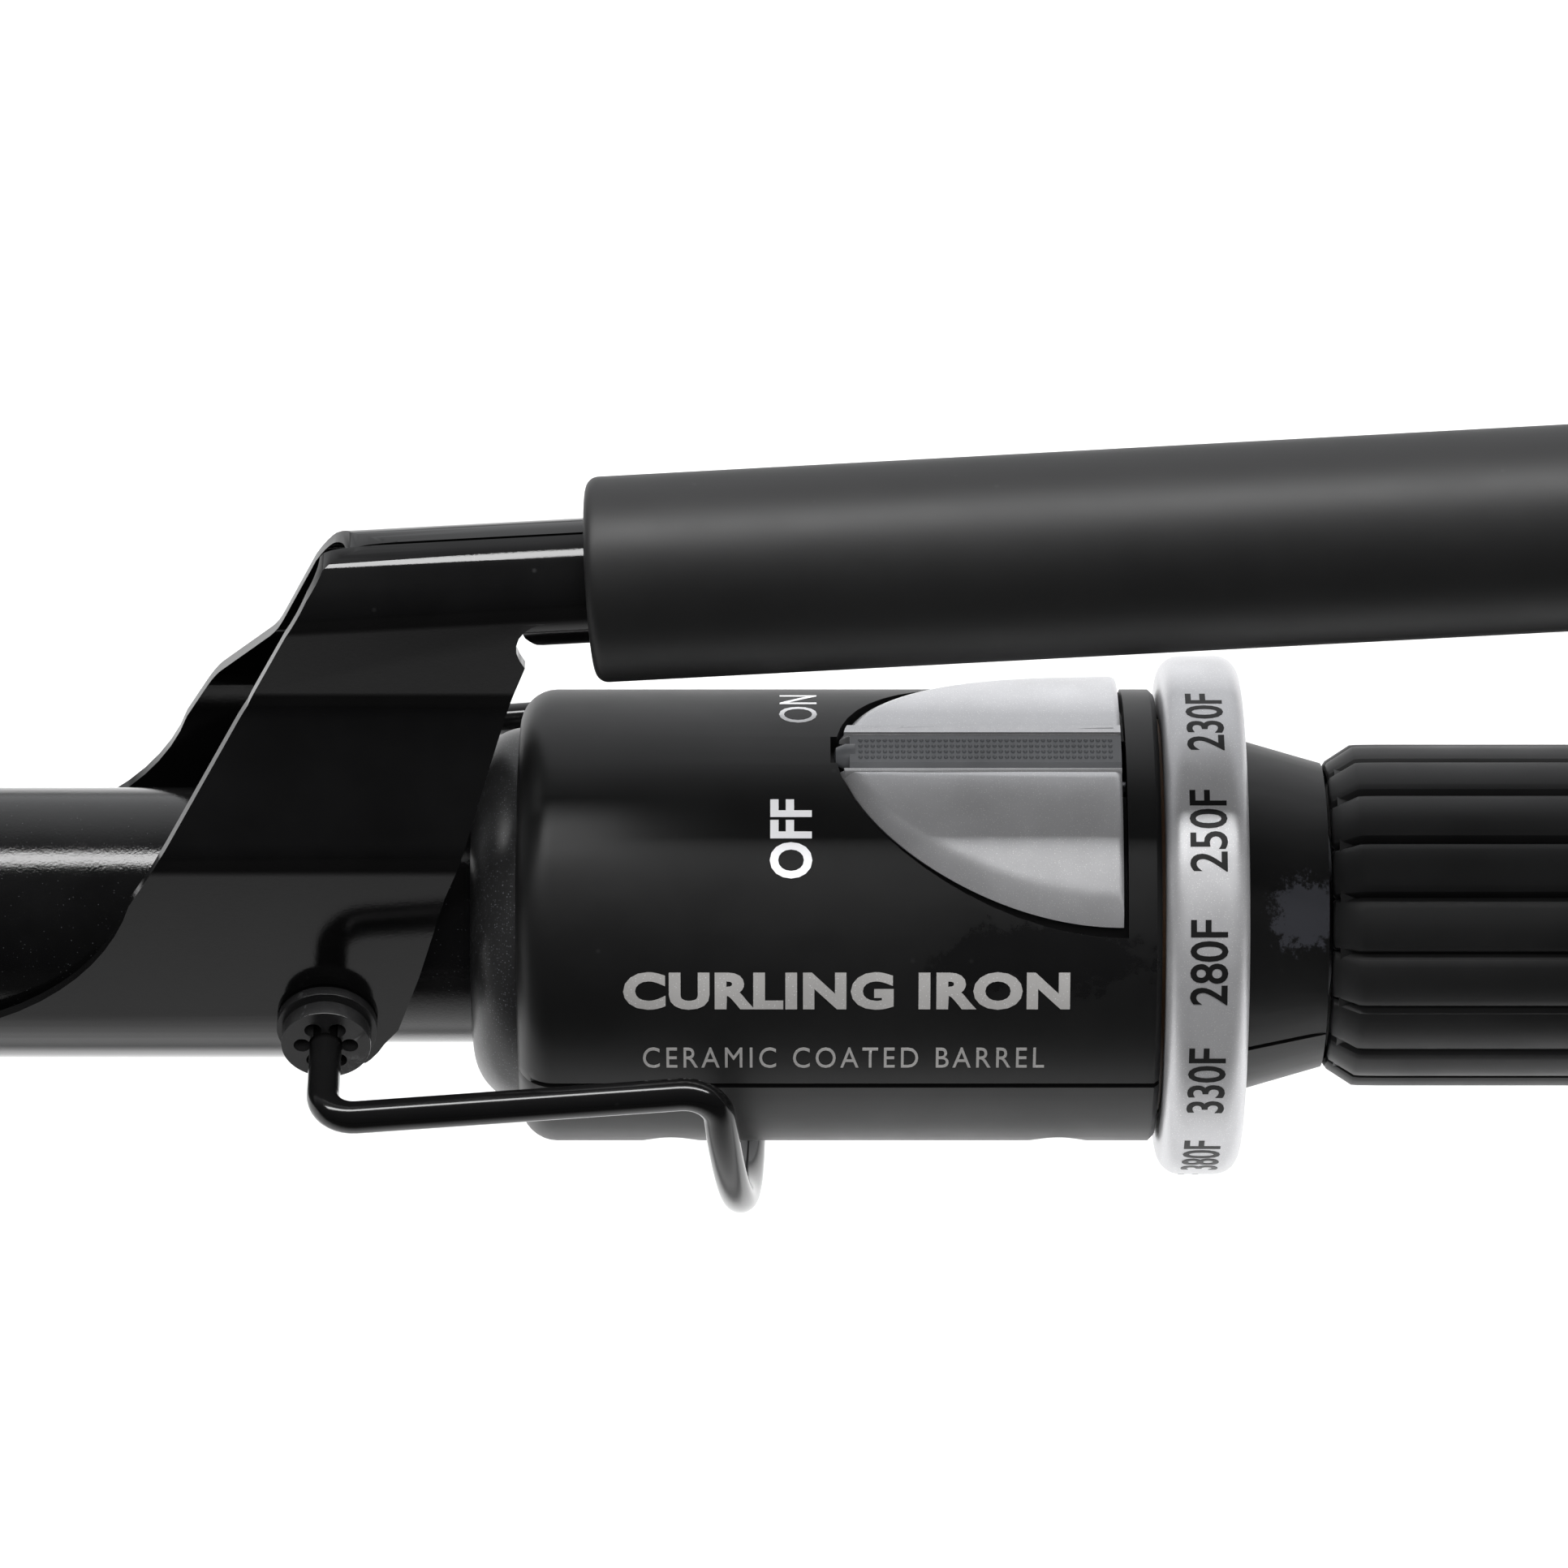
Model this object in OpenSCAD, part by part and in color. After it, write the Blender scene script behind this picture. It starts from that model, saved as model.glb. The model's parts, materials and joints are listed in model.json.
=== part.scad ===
// Curling iron with a two-handled scissor clamp, a folding wire stand,
// a rocker switch and a temperature dial ring.
// The iron's axis is X: barrel towards -X, cord towards +X, clamp handle above (+Z).
// The origin is the middle of the main grip, on the iron's axis.

/* [Barrel] */
// Outer diameter of the heated barrel
barrel_d = 19.05; // [15.5:0.01:23]
// Wall of the barrel tube
barrel_wall = 0.7; // [0.5:0.1:1]
// Barrel length in front of the clamp pivot
barrel_len = 120; // [90:1:160]
// Length of the cool tip that shows beyond the barrel
tip_len = 14; // [8:1:20]

/* [Clamp] */
// Thickness of the clamp's sheet metal
sheet_t = 0.8; // [0.6:0.1:1]
// Gap between the closed clamp and the barrel
clamp_gap = 0.33; // [0.3:0.01:0.6]
// Outer diameter of the rolled tang
tang_d = 9; // [8:0.1:10]
// Outer diameter of the clamp handle's sleeve
sleeve_d = 14.8; // [13:0.1:18]
// Length of the clamp handle's sleeve
sleeve_len = 138; // [100:1:150]
// Distance the far cheek's front edge is set back from the near one
far_cheek_setback = 3.1; // [0:0.1:4]

/* [Pivot and stand] */
// Height of the clamp pivot over the iron's axis
pivot_z = -0.6; // [-2:0.1:0]
// Diameter of the pivot screw's head
screw_head_d = 6.6; // [6:0.1:8]
// Diameter of the stand's wire
wire_d = 2.4; // [2:0.1:3]
// Distance from the pivot to the stand's hoop
stand_leg = 28.9; // [25:0.1:34]
// Upward tilt of the folded stand
stand_tilt = 5.7; // [3:0.1:6]

/* [Housing] */
// Outer diameter of the drum
drum_d = 33.7; // [31:0.1:40]
// Length of the drum
drum_len = 47.1; // [44:0.1:56]
// Wall of the drum's shells
shell_wall = 2; // [1.6:0.1:2.6]
// Height of the seam between the two shells
seam_z = -1.4; // [-3:0.1:-1]
// Outer diameter of the dial ring
dial_d = 38.7; // [36:0.1:46]
// Width of the dial ring
dial_len = 6.6; // [5.6:0.1:8]
// Length of the neck behind the dial ring
neck_len = 5.9; // [4:0.1:8]
// Length of the rocker switch
rocker_len = 21.6; // [17.5:0.1:22.5]
// Angle that the far wing stands proud in the off position
rocker_tilt = 6; // [4:0.5:7]

/* [Main grip] */
// Outer diameter of the ribbed grip
grip_d = 25.6; // [24:0.1:31]
// Length of the ribbed grip
grip_len = 98; // [80:1:120]
// Number of ribs round the grip
ribs = 18; // [12:1:24]
// Outer diameter of the spindle that the grip turns on
spindle_d = 12; // [10:0.1:12.4]
// Radius of the cord hole in the swivel gland
cord_r = 3.6; // [3:0.1:4]
// Length of the cord hole in the swivel gland
cord_hole_len = 8; // [6:0.5:10]

/* [Hidden] */
$fn = 64;
e = 0.01;
fit = 0.05;      // radial clearance of a running fit
seat = 0.02;     // gap between pieces that are fixed to each other
air = 0.3;       // gap between pieces that move past each other

// stations along the iron, from the middle of the grip forward
grip_x0 = -grip_len / 2;
grip_x1 = grip_len / 2;
neck_x1 = grip_x0 - air;
neck_x0 = neck_x1 - neck_len;
dial_x1 = neck_x0;
dial_x0 = dial_x1 - dial_len;
drum_x1 = dial_x0;
drum_x0 = drum_x1 - drum_len;
pivot_x = drum_x0 - 14.1;
barrel_x0 = pivot_x - barrel_len;
barrel_x1 = drum_x0 + 8;

barrel_r = barrel_d / 2;
bore_r = barrel_r - barrel_wall;
drum_r = drum_d / 2;
drum_in = drum_r - shell_wall;
dial_r = dial_d / 2;
grip_r = grip_d / 2;
spindle_r = spindle_d / 2;
lead_bore_r = spindle_r - 1.8;
lead_r = 0.8;

// clamp
trough_in = barrel_r + clamp_gap;
trough_out = trough_in + sheet_t;
tang_r = tang_d / 2;
sleeve_r = sleeve_d / 2;
bend_r = 5;
knee_z = barrel_r + 5.95;            // where the cheeks start to lean in
waist_z = knee_z + 9.9;              // where the cheeks stand upright again
ear_x = -1;                          // behind this the cheeks are flat ears
ear_z = -5;                          // bottom of the ears
lean = atan((trough_out - tang_r) / (waist_z - knee_z));
tang_slope = 4.07;
tang_z = waist_z + 6.6;              // tang axis straight above the pivot
spoon_x0 = -(barrel_len - 8);        // spoon tip, from the pivot
sleeve_x0 = 19.9;
tang_len = sleeve_x0 + sleeve_len - 4;

// pivot hardware
wire_r = wire_d / 2;
shank_r = 2.3;
shoulder_r = 2.9;
head_r = screw_head_d / 2;
flange_r = head_r + 0.4;
head_h = 2.4;
bracket_in = 5;
stand_y = drum_r + 4.05;             // half the stand's width, on the wire's centre
wire_bend = 2.6;

// housing details
collar_r = drum_r - 2.85;
edge_r = 2.7;
neck_r0 = 13.05;
neck_r1 = 11.35;
hub_r = 10;
dial_in = 15;
boss_x = [drum_x0 + 11.2, drum_x1 - 7.1];
boss_y = drum_in - 3.4;
boss_r = 2.6;
screw_seat_z = -5;                   // where the shell screws' heads bear
board_z = 1.5;

// rocker switch
rocker_x1 = drum_x1 - 2.8;
rocker_x0 = rocker_x1 - rocker_len;
wing_r = drum_r + 0.15;
wing_in = drum_r - 0.95;
pocket_r = wing_in - 0.75;
rocker_pivot_z = drum_in - 2.2;
wing_angle = 50;
spine_w = 4.4;
lens_w = 3.4;

// ---- helpers -------------------------------------------------------------

// cylinder along +X from x0 to x1
module rod(x0, x1, r) {
    translate([x0, 0, 0]) rotate([0, 90, 0]) cylinder(h = x1 - x0, r = r);
}

// tube along +X from x0 to x1
module pipe(x0, x1, r_out, r_in) {
    difference() {
        rod(x0, x1, r_out);
        rod(x0 - 1, x1 + 1, r_in);
    }
}

// solid of revolution about X from [x, r] points
module turned(points) {
    rotate([0, 90, 0]) rotate_extrude() polygon([for (p = points) [p[1], p[0]]]);
}

// box between two corners
module block(a, b) {
    translate(a) cube([b[0] - a[0], b[1] - a[1], b[2] - a[2]]);
}

// points of an arc in the plane of a profile
function arc(cx, cy, r, a0, a1, n) =
    [for (i = [0 : n]) let (a = a0 + (a1 - a0) * i / n) [cx + r * cos(a), cy + r * sin(a)]];

// ---- barrel and heater ---------------------------------------------------

heater_x0 = barrel_x0 + 6;
heater_x1 = pivot_x - 24;
core_w = 10;
core_t = 2.4;

module barrel_tube() {
    color("#0b0b0d") difference() {
        union() {
            pipe(barrel_x0, barrel_x1, barrel_r, bore_r);
            pipe(barrel_x1 - 3, barrel_x1 - 2.2, barrel_r + 2, bore_r);
        }
        translate([pivot_x, 0, pivot_z]) rotate([90, 0, 0])
            cylinder(h = 2 * barrel_r + 2, r = shank_r + seat, center = true);
    }
}

module cool_tip() {
    tip_r = barrel_r + 0.4;
    dome = tip_len - 5;
    color("#101012") union() {
        turned(concat([[barrel_x0 - tip_len, 0]],
            [for (i = [1 : 12]) [barrel_x0 - 5 - dome * cos(90 * i / 12), tip_r * sin(90 * i / 12)]],
            [[barrel_x0 - seat, tip_r], [barrel_x0 - seat, 0]]));
        rod(barrel_x0 - 1, barrel_x0 + 5.5, bore_r - seat);
    }
}

module heater_core() {
    color("#e8e4da") block([heater_x0, -core_w / 2, -core_t / 2], [heater_x1, core_w / 2, core_t / 2]);
}

module heat_spreader(sign) {
    difference() {
        translate([heater_x0, 0, 0]) rotate([90, 0, 90]) linear_extrude(heater_x1 - heater_x0)
            intersection() {
                circle(r = bore_r - seat);
                translate([-barrel_r, sign > 0 ? core_t / 2 + seat : -barrel_r - core_t / 2 - seat])
                    square([2 * barrel_r, barrel_r]);
            }
        if (sign > 0)
            translate([heater_x1 - 9, 0, 4.6]) rotate([0, 90, 0]) cylinder(h = 12, r = 1.1);
    }
}

module heat_spreader_upper() {
    color("#b9bdc2") heat_spreader(1);
}

module heat_spreader_lower() {
    color("#b9bdc2") heat_spreader(-1);
}

module insulating_sleeve() {
    color("#d9d2bd") pipe(heater_x1 + 0.5, pivot_x - 6, bore_r - 0.1, bore_r - 1);
}

module temperature_sensor() {
    color("#7a4a2a") translate([heater_x1 - 8.5, 0, 4.6]) rotate([0, 90, 0])
        cylinder(h = 11, r = 1);
}

module thermal_fuse() {
    color("#c9ccd0") translate([pivot_x + 7, 0, 3.2]) rotate([0, 90, 0])
        cylinder(h = 9, r = 1.6);
}

module hinge_bracket() {
    color("#8d9094") difference() {
        pipe(pivot_x - 5, pivot_x + 5, bore_r - seat, bracket_in);
        translate([pivot_x, 0, pivot_z]) rotate([90, 0, 0])
            cylinder(h = 2 * barrel_r + 2, r = shank_r + seat, center = true);
    }
}

// ---- pivot screws and stand ----------------------------------------------

// one screw, drawn along +Z with the barrel's surface at zero height
module pivot_screw() {
    cheek_top = trough_out - barrel_r + 0.15;
    difference() {
        union() {
            translate([0, 0, -3.4]) cylinder(h = 3.6, r = shank_r);
            translate([0, 0, 0.05]) cylinder(h = cheek_top, r = shoulder_r);
            translate([0, 0, cheek_top]) cylinder(h = 0.8, r = flange_r);
            translate([0, 0, cheek_top + 0.8]) cylinder(h = 0.35, r = head_r - 0.35);
            translate([0, 0, cheek_top + 1.15]) cylinder(h = head_h - 1.15, r = head_r);
        }
        translate([0, 0, -2.5]) cylinder(h = 10, r = wire_r + fit);
        for (i = [0 : 5])
            rotate(i * 60) translate([1.75, 0, cheek_top + head_h - 1.5]) cylinder(h = 3, r = 0.62);
    }
}

module pivot_screws() {
    color("#141416") for (s = [-1, 1])
        translate([pivot_x, s * barrel_r, pivot_z]) rotate([s > 0 ? -90 : 90, 0, 0]) pivot_screw();
}

// one side of the stand in its own frame: pivot at the origin, legs along +X
module stand_side() {
    wire_in = barrel_r - 1.2;
    y_bend = stand_y - wire_bend;
    rotate([-90, 0, 0]) translate([0, 0, wire_in]) cylinder(h = y_bend - wire_in, r = wire_r);
    translate([wire_bend, y_bend, 0]) rotate([0, 0, 90])
        rotate_extrude(angle = 90) translate([wire_bend, 0]) circle(r = wire_r);
    translate([wire_bend, stand_y, 0]) rotate([0, 90, 0])
        cylinder(h = stand_leg - 2 * wire_bend, r = wire_r);
    translate([stand_leg - wire_bend, stand_y, -wire_bend]) rotate([90, 0, 0])
        rotate_extrude(angle = 90) translate([wire_bend, 0]) circle(r = wire_r);
}

module stand_wire() {
    color("#0c0c0e") translate([pivot_x, 0, pivot_z]) rotate([0, -stand_tilt, 0]) union() {
        stand_side();
        mirror([0, 1, 0]) stand_side();
        translate([stand_leg, 0, -wire_bend]) rotate([90, 0, 90]) rotate([0, 0, 180])
            rotate_extrude(angle = 180) translate([stand_y, 0]) circle(r = wire_r);
    }
}

// ---- clamp ---------------------------------------------------------------

// half of the sheet's outline at a depth below its outer face, bottom to top:
// round under the barrel in front, flat where it is an ear on the pivot
function cheek_half(off, ear) =
    let (corner = bend_r * tan(lean / 2),
         up_r = bend_r - sheet_t,
         up_z = waist_z + up_r * tan(lean / 2))
    concat(
        ear ? [[trough_out - off, ear_z - off]] : arc(0, 0, trough_out - off, -90, 0, 24),
        arc(trough_out - bend_r, knee_z - corner, bend_r - off, 0, lean, 6),
        [for (p = arc(0, 0, up_r + off, 180 + lean, 180, 6))
            [tang_r + up_r + p[0], up_z + p[1]]],
        [[tang_r - off, tang_z + 4]]);

function flip(points) = [for (i = [len(points) - 1 : -1 : 0]) [-points[i][0], points[i][1]]];

module sheet_outline(ear) {
    difference() {
        polygon(concat(cheek_half(0, ear), flip(cheek_half(0, ear))));
        polygon(concat(cheek_half(sheet_t, ear), flip(cheek_half(sheet_t, ear))));
    }
}

// height of the tang's axis at a distance behind the pivot
function tang_axis(x) = tang_z + x * tan(tang_slope);

// the cheek's front edge, from the tang's seam down to the spoon's rim: a rounded
// corner, a straight slope, then a curve that runs out along the rim; the part
// above the waist is set back by less than the rest
knee_x = -11.6;
slope_foot = [-14, 11.1];
rim_x = -36;
rim_z = -2.6;

// a point of the tang's surface, seen from the side, at an angle above its axis
function on_tang_face(x, angle) = [x, tang_axis(x) + tang_r * sin(angle)];

function front_edge(back) =
    let (high = 0.6 * back)
    concat(
        [[4.2 + high, tang_axis(5) + tang_r + 2], on_tang_face(4.2 + high, 90)],
        [for (p = [[3.1, 84], [2.1, 78], [1.3, 71], [0.75, 64], [-0.4, 36], [-2, 0]])
            on_tang_face(p[0] + high, p[1])],
        [[-5 + high, waist_z], [knee_x + back, knee_z]],
        [for (i = [0 : 14]) let (t = i / 14)
            [slope_foot[0] + back + (rim_x - slope_foot[0] - back) * (0.28 * t + 0.72 * t * t),
             slope_foot[1] + (rim_z - slope_foot[1]) * sin(90 * t)]]);

// what one cheek keeps, seen from the side
module side_mask(back) {
    nose = 8;
    polygon(concat(
        front_edge(back),
        [for (p = arc(0, 0, nose, 90, 180, 8))
            [spoon_x0 + nose + p[0], rim_z - nose + p[1]]],
        [[spoon_x0, -trough_out - 2], [-2.5, -trough_out - 2], [-2.5, -trough_out + 1.2],
            [ear_x - e, -trough_out + 2.7], [ear_x - e, ear_z - 1]],
        arc(-1.6, pivot_z + 0.2, 6.3, -60, -25, 4),
        [[5.2, -1.6], [6.9, 3.8], [9.0, 11.8], [12.0, waist_z - 5.1], [13.9, waist_z]],
        [[15.1, tang_z - 3.1]],
        arc(17, tang_axis(17) - 2.5, 2.5, 205, 90, 7),
        [[18.5, tang_axis(18.5)], [18.5, tang_z + tang_r + 2]]));
}

// the sheet round the barrel and up to the tang, before its edges are trimmed
module folded_sheet() {
    intersection() {
        union() {
            translate([spoon_x0 - 1, 0, 0]) rotate([90, 0, 90])
                linear_extrude(ear_x - spoon_x0 + 1) sheet_outline(false);
            translate([ear_x - e, 0, 0]) rotate([90, 0, 90])
                linear_extrude(24) sheet_outline(true);
        }
        translate([0, 0, tang_z]) rotate([0, -tang_slope, 0])
            block([spoon_x0 - 20, -30, -80], [40, 30, 0]);
    }
    tang_pipe(-4, 17, false);
}

// the rolled tang with its seam on top; its front has no floor
module tang_pipe(x0, x1, floored) {
    translate([0, 0, tang_z]) rotate([0, -tang_slope, 0]) difference() {
        rod(x0, x1, tang_r);
        rod(x0 - 1, x1 + 1, tang_r - sheet_t);
        block([x0 - 1, -0.12, 0], [x1 + 1, 0.12, 10]);
        if (!floored)
            block([x0 - 1, -10, -10], [x1 + 1, 10, 0]);
        // the floor's front end slopes down and back
        translate([x0, 10, 0]) rotate([90, 0, 0]) linear_extrude(20)
            polygon([[-1, 0], [0, 0], [0.3, -1.5], [1, -2.9], [2.2, -3.9], [4, -4.6], [4, -9], [-1, -9]]);
    }
}

module clamp_spoon() {
    color("#0a0a0c") translate([pivot_x, 0, 0]) difference() {
        union() {
            for (s = [-1, 1])
                intersection() {
                    folded_sheet();
                    translate([0, s > 0 ? 30 : 0, 0]) rotate([90, 0, 0]) linear_extrude(30)
                        side_mask(s > 0 ? far_cheek_setback : 0);
                }
            tang_pipe(14.8, tang_len, true);
        }
        translate([0, 0, pivot_z]) rotate([90, 0, 0])
            cylinder(h = 4 * trough_out, r = shoulder_r + fit, center = true);
    }
}

// places its children in the tang's own frame, X along the tang's axis
module on_tang() {
    translate([pivot_x, 0, tang_z]) rotate([0, -tang_slope, 0]) children();
}

module tang_plug() {
    color("#8d9094") on_tang() pipe(tang_len - 14, tang_len, tang_r - sheet_t - seat, 1.5 + seat);
}

module tang_washer() {
    color("#b9bdc2") on_tang() pipe(tang_len + seat, tang_len + 0.8, tang_r + 1.6, 1.5 + seat);
}

module tang_screw() {
    color("#b9bdc2") on_tang() difference() {
        union() {
            rod(tang_len - 9, tang_len + 1, 1.5);
            rod(tang_len + 0.8 + seat, tang_len + 2.6, 2.8);
        }
        block([tang_len + 1.8, -0.4, -4], [tang_len + 4, 0.4, 4]);
    }
}

module clamp_sleeve() {
    x1 = sleeve_x0 + sleeve_len;
    color("#34363a") on_tang() difference() {
        turned([[sleeve_x0, 0], [sleeve_x0, sleeve_r - 0.9],
            each arc(sleeve_x0 + 0.9, sleeve_r - 0.9, 0.9, 180, 90, 6),
            [x1, sleeve_r], [x1, 0]]);
        rod(sleeve_x0 - 1, tang_len - 0.3, tang_r + fit);
        rod(sleeve_x0 + 12, tang_len - 14, tang_r + 1);
        rod(tang_len - 0.3, x1 + 1, tang_r + 2);
    }
}

module sleeve_cap() {
    x1 = sleeve_x0 + sleeve_len;
    color("#1c1d20") on_tang() union() {
        rod(x1 - 0.8, x1 + 1, tang_r + 2 - seat);
        turned([[x1 + seat, 0], [x1 + seat, sleeve_r],
            each arc(x1 + 1.2, sleeve_r - 2, 2, 90, 0, 6), [x1 + 3.2, 0]]);
    }
}

// ---- housing -------------------------------------------------------------

module nose_collar() {
    x_face = pivot_x + 10.6;
    x_seat = drum_x0 + 0.4;
    rise = collar_r - barrel_r - 0.3;
    color("#232427") difference() {
        union() {
            turned([[x_face, 0],
                for (i = [0 : 12]) let (a = 90 * i / 12)
                    [x_face + (x_seat - x_face) * (1 - cos(a)), barrel_r + 0.3 + rise * sin(a)],
                [drum_x0 + 3, collar_r], [drum_x0 + 3, 0]]);
            rod(drum_x0 + shell_wall + 0.2, drum_x0 + 4.4, collar_r + 0.5);
        }
        rod(x_face - 1, drum_x0 + 6, barrel_r + seat);
    }
}

// the whole housing before it is cut at the seam
module housing_body() {
    difference() {
        union() {
            turned([[drum_x0, 0], [drum_x0, drum_r - edge_r],
                each arc(drum_x0 + edge_r, drum_r - edge_r, edge_r, 180, 90, 8),
                [drum_x1 - 0.4, drum_r], [drum_x1, drum_r - 0.4], [drum_x1, 0]]);
            rod(drum_x1 - e, neck_x0 + e, hub_r);
            turned([[neck_x0, 0], [neck_x0, neck_r0], [neck_x1, neck_r1], [neck_x1, 0]]);
        }
        rod(drum_x0 + shell_wall, drum_x1 - shell_wall, drum_in);
        rod(drum_x0 - 1, drum_x0 + shell_wall + 1, collar_r + seat);
        rod(drum_x1 - shell_wall - 1, drum_x1 + 1, lead_bore_r);
        rod(drum_x1 - 1, neck_x1 + 1, spindle_r + seat);
        // pocket for the spindle's flange
        rod(dial_x1 - 2.4, dial_x1, spindle_r + 2 + seat);
    }
}

module screw_bosses() {
    intersection() {
        for (x = boss_x, s = [-1, 1])
            translate([x, s * boss_y, -drum_r]) cylinder(h = 2 * drum_r - 8, r = boss_r);
        rod(drum_x0 + 1, drum_x1 - 1, drum_r - 0.5);
    }
}

// the rocker's outline on the drum, grown by a margin, as seen from above
module rocker_plan(margin) {
    half = drum_r * sin(wing_angle);
    length = rocker_len - 1;
    intersection() {
        translate([rocker_x1 + margin, 0]) polygon(
            [for (i = [0 : 32]) let (a = 90 + 180 * i / 32)
                [(length + margin * 2) * cos(a), (half + margin) * sin(a)]]);
        translate([rocker_x0 - 4, -drum_r]) square([rocker_len + 4 + margin, 2 * drum_r]);
    }
}

module rocker_pocket() {
    margin = 0.35;
    intersection() {
        translate([0, 0, 5]) linear_extrude(drum_r) rocker_plan(margin);
        difference() {
            rod(drum_x0, drum_x1, drum_r + 5);
            rod(drum_x0 - 1, drum_x1 + 1, pocket_r);
        }
    }
    block([rocker_x0 + 1.2, -spine_w / 2 - 0.8, 6], [rocker_x1 + margin, spine_w / 2 + 0.8, drum_r + 3]);
    // room for the nub at the light bar's front end
    block([rocker_x0 + 0.3, -1.4, wing_r - 1.3], [rocker_x0 + 1.6, 1.4, drum_r + 3]);
}

module upper_shell() {
    color("#1b1c1f") difference() {
        union() {
            housing_body();
            difference() {
                screw_bosses();
                for (x = boss_x, s = [-1, 1])
                    translate([x, s * boss_y, seam_z - 1]) cylinder(h = 8, r = 1.3);
            }
            for (x = [rocker_x0 - 2.2, rocker_x1 + 0.5])
                block([x, -3, rocker_pivot_z - 2.4], [x + 1.6, 3, drum_in + 0.5]);
        }
        block([drum_x0 - 1, -drum_r - 1, -drum_r - 1], [neck_x1 + 1, drum_r + 1, seam_z]);
        difference() {
            block([drum_x0 - 1, -drum_r - 1, seam_z - 1], [drum_x1, drum_r + 1, seam_z + 0.45]);
            rod(drum_x0 - 2, drum_x1 + 1, drum_r - 0.6);
        }
        difference() {
            block([neck_x0 + e, -drum_r, seam_z - 1], [neck_x1 + 1, drum_r, seam_z + 0.4]);
            turned([[neck_x0 - 1, 0], [neck_x0 - 1, neck_r0 - 0.4], [neck_x1 + 2, neck_r1 - 0.5],
                [neck_x1 + 2, 0]]);
        }
        rocker_pocket();
        rocker_pin_hole();
    }
}

module rocker_pin_hole() {
    translate([rocker_x0 - 1.8, 0, rocker_pivot_z]) rotate([0, 90, 0])
        cylinder(h = rocker_len + 2.9 + seat, r = 0.75 + seat);
}

module lower_shell() {
    color("#1b1c1f") difference() {
        union() {
            housing_body();
            screw_bosses();
        }
        block([drum_x0 - 1, -drum_r - 1, seam_z - seat], [neck_x1 + 1, drum_r + 1, drum_r + 1]);
        for (x = boss_x, s = [-1, 1]) {
            translate([x, s * boss_y, -drum_r]) cylinder(h = drum_r, r = 1.6);
            translate([x, s * boss_y, -drum_r]) cylinder(h = drum_r + screw_seat_z, r = 2.3);
        }
    }
}

module shell_screws() {
    color("#8d9094") for (x = boss_x, s = [-1, 1])
        translate([x, s * boss_y, screw_seat_z - seat]) difference() {
            union() {
                cylinder(h = 10, r = 1.25);
                translate([0, 0, -1.6]) cylinder(h = 1.6, r = 2.2);
            }
            for (a = [0, 90])
                rotate(a) translate([-1.4, -0.3, -2]) cube([2.8, 0.6, 1.2]);
        }
}

module control_board() {
    w = boss_y - boss_r - 0.4;
    color("#1f5a35") union() {
        block([drum_x0 + 8, -w, board_z], [drum_x1 - 3, w, board_z + 1.6]);
        block([drum_x0 + 10, -w + 1, board_z + 1.6 - e], [drum_x0 + 18, -w + 6, board_z + 5]);
        block([drum_x0 + 11, 1, board_z + 1.6 - e], [drum_x0 + 16, w - 1, board_z + 4]);
    }
}

module switch_module() {
    color("#15161a") union() {
        block([rocker_x0 + 3, -4.5, board_z + 1.6 + seat], [rocker_x0 + 16, 4.5, 7.4]);
        block([rocker_x0 + 7, -0.8, 7.4 - e], [rocker_x0 + 12, 0.8, 8]);
    }
}

module indicator_lamp() {
    color("#e6b8a8") translate([rocker_x0 + 18, 0, board_z + 1.6 + seat])
        union() {
            cylinder(h = 4, r = 1.5);
            translate([0, 0, 4]) sphere(r = 1.5);
        }
}

module rocker_pin() {
    color("#c9ccd0") translate([rocker_x0 - 1.8, 0, rocker_pivot_z]) rotate([0, 90, 0])
        cylinder(h = rocker_len + 2.9, r = 0.75);
}

// half of the rocker, the wing over +Y, lying flush with the drum
module rocker_wing() {
    intersection() {
        translate([0, 0, 5]) linear_extrude(drum_r + 5) rocker_plan(0);
        pipe(rocker_x0 - 3, rocker_x1 + 1, wing_r, wing_in);
        block([rocker_x0 - 3, spine_w / 2 - 0.15, 0], [rocker_x1 + 1, drum_r, drum_r + 2]);
    }
}

module about_rocker(angle) {
    translate([0, 0, rocker_pivot_z]) rotate([angle, 0, 0])
        translate([0, 0, -rocker_pivot_z]) children();
}

module rocker_cap() {
    color("#b4b6ba") difference() {
        union() {
            mirror([0, 1, 0]) rocker_wing();
            about_rocker(rocker_tilt) rocker_wing();
            about_rocker(rocker_tilt / 2)
                block([rocker_x0 + 1.6, -spine_w / 2, rocker_pivot_z - 3.4],
                    [rocker_x1 - 0.2, spine_w / 2, wing_r - 0.35]);
        }
        about_rocker(rocker_tilt / 2)
            block([rocker_x0 - 2, -lens_w / 2, wing_r - 1.6], [rocker_x1 + 1, lens_w / 2, wing_r + 3]);
        translate([rocker_x0 - 2, 0, rocker_pivot_z]) rotate([0, 90, 0])
            cylinder(h = rocker_len + 4, r = 0.75 + fit);
    }
}

module rocker_lens() {
    color("#9fa3a8", 0.9) about_rocker(rocker_tilt / 2) union() {
        block([rocker_x0 + 1.6, -lens_w / 2 + seat, wing_r - 1.6 + seat],
            [rocker_x1, lens_w / 2 - seat, wing_r + 0.35]);
        block([rocker_x0 + 0.6, -0.9, wing_r - 0.9], [rocker_x0 + 1.6 + e, 0.9, wing_r + 0.5]);
    }
}

// ---- dial ----------------------------------------------------------------

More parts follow.
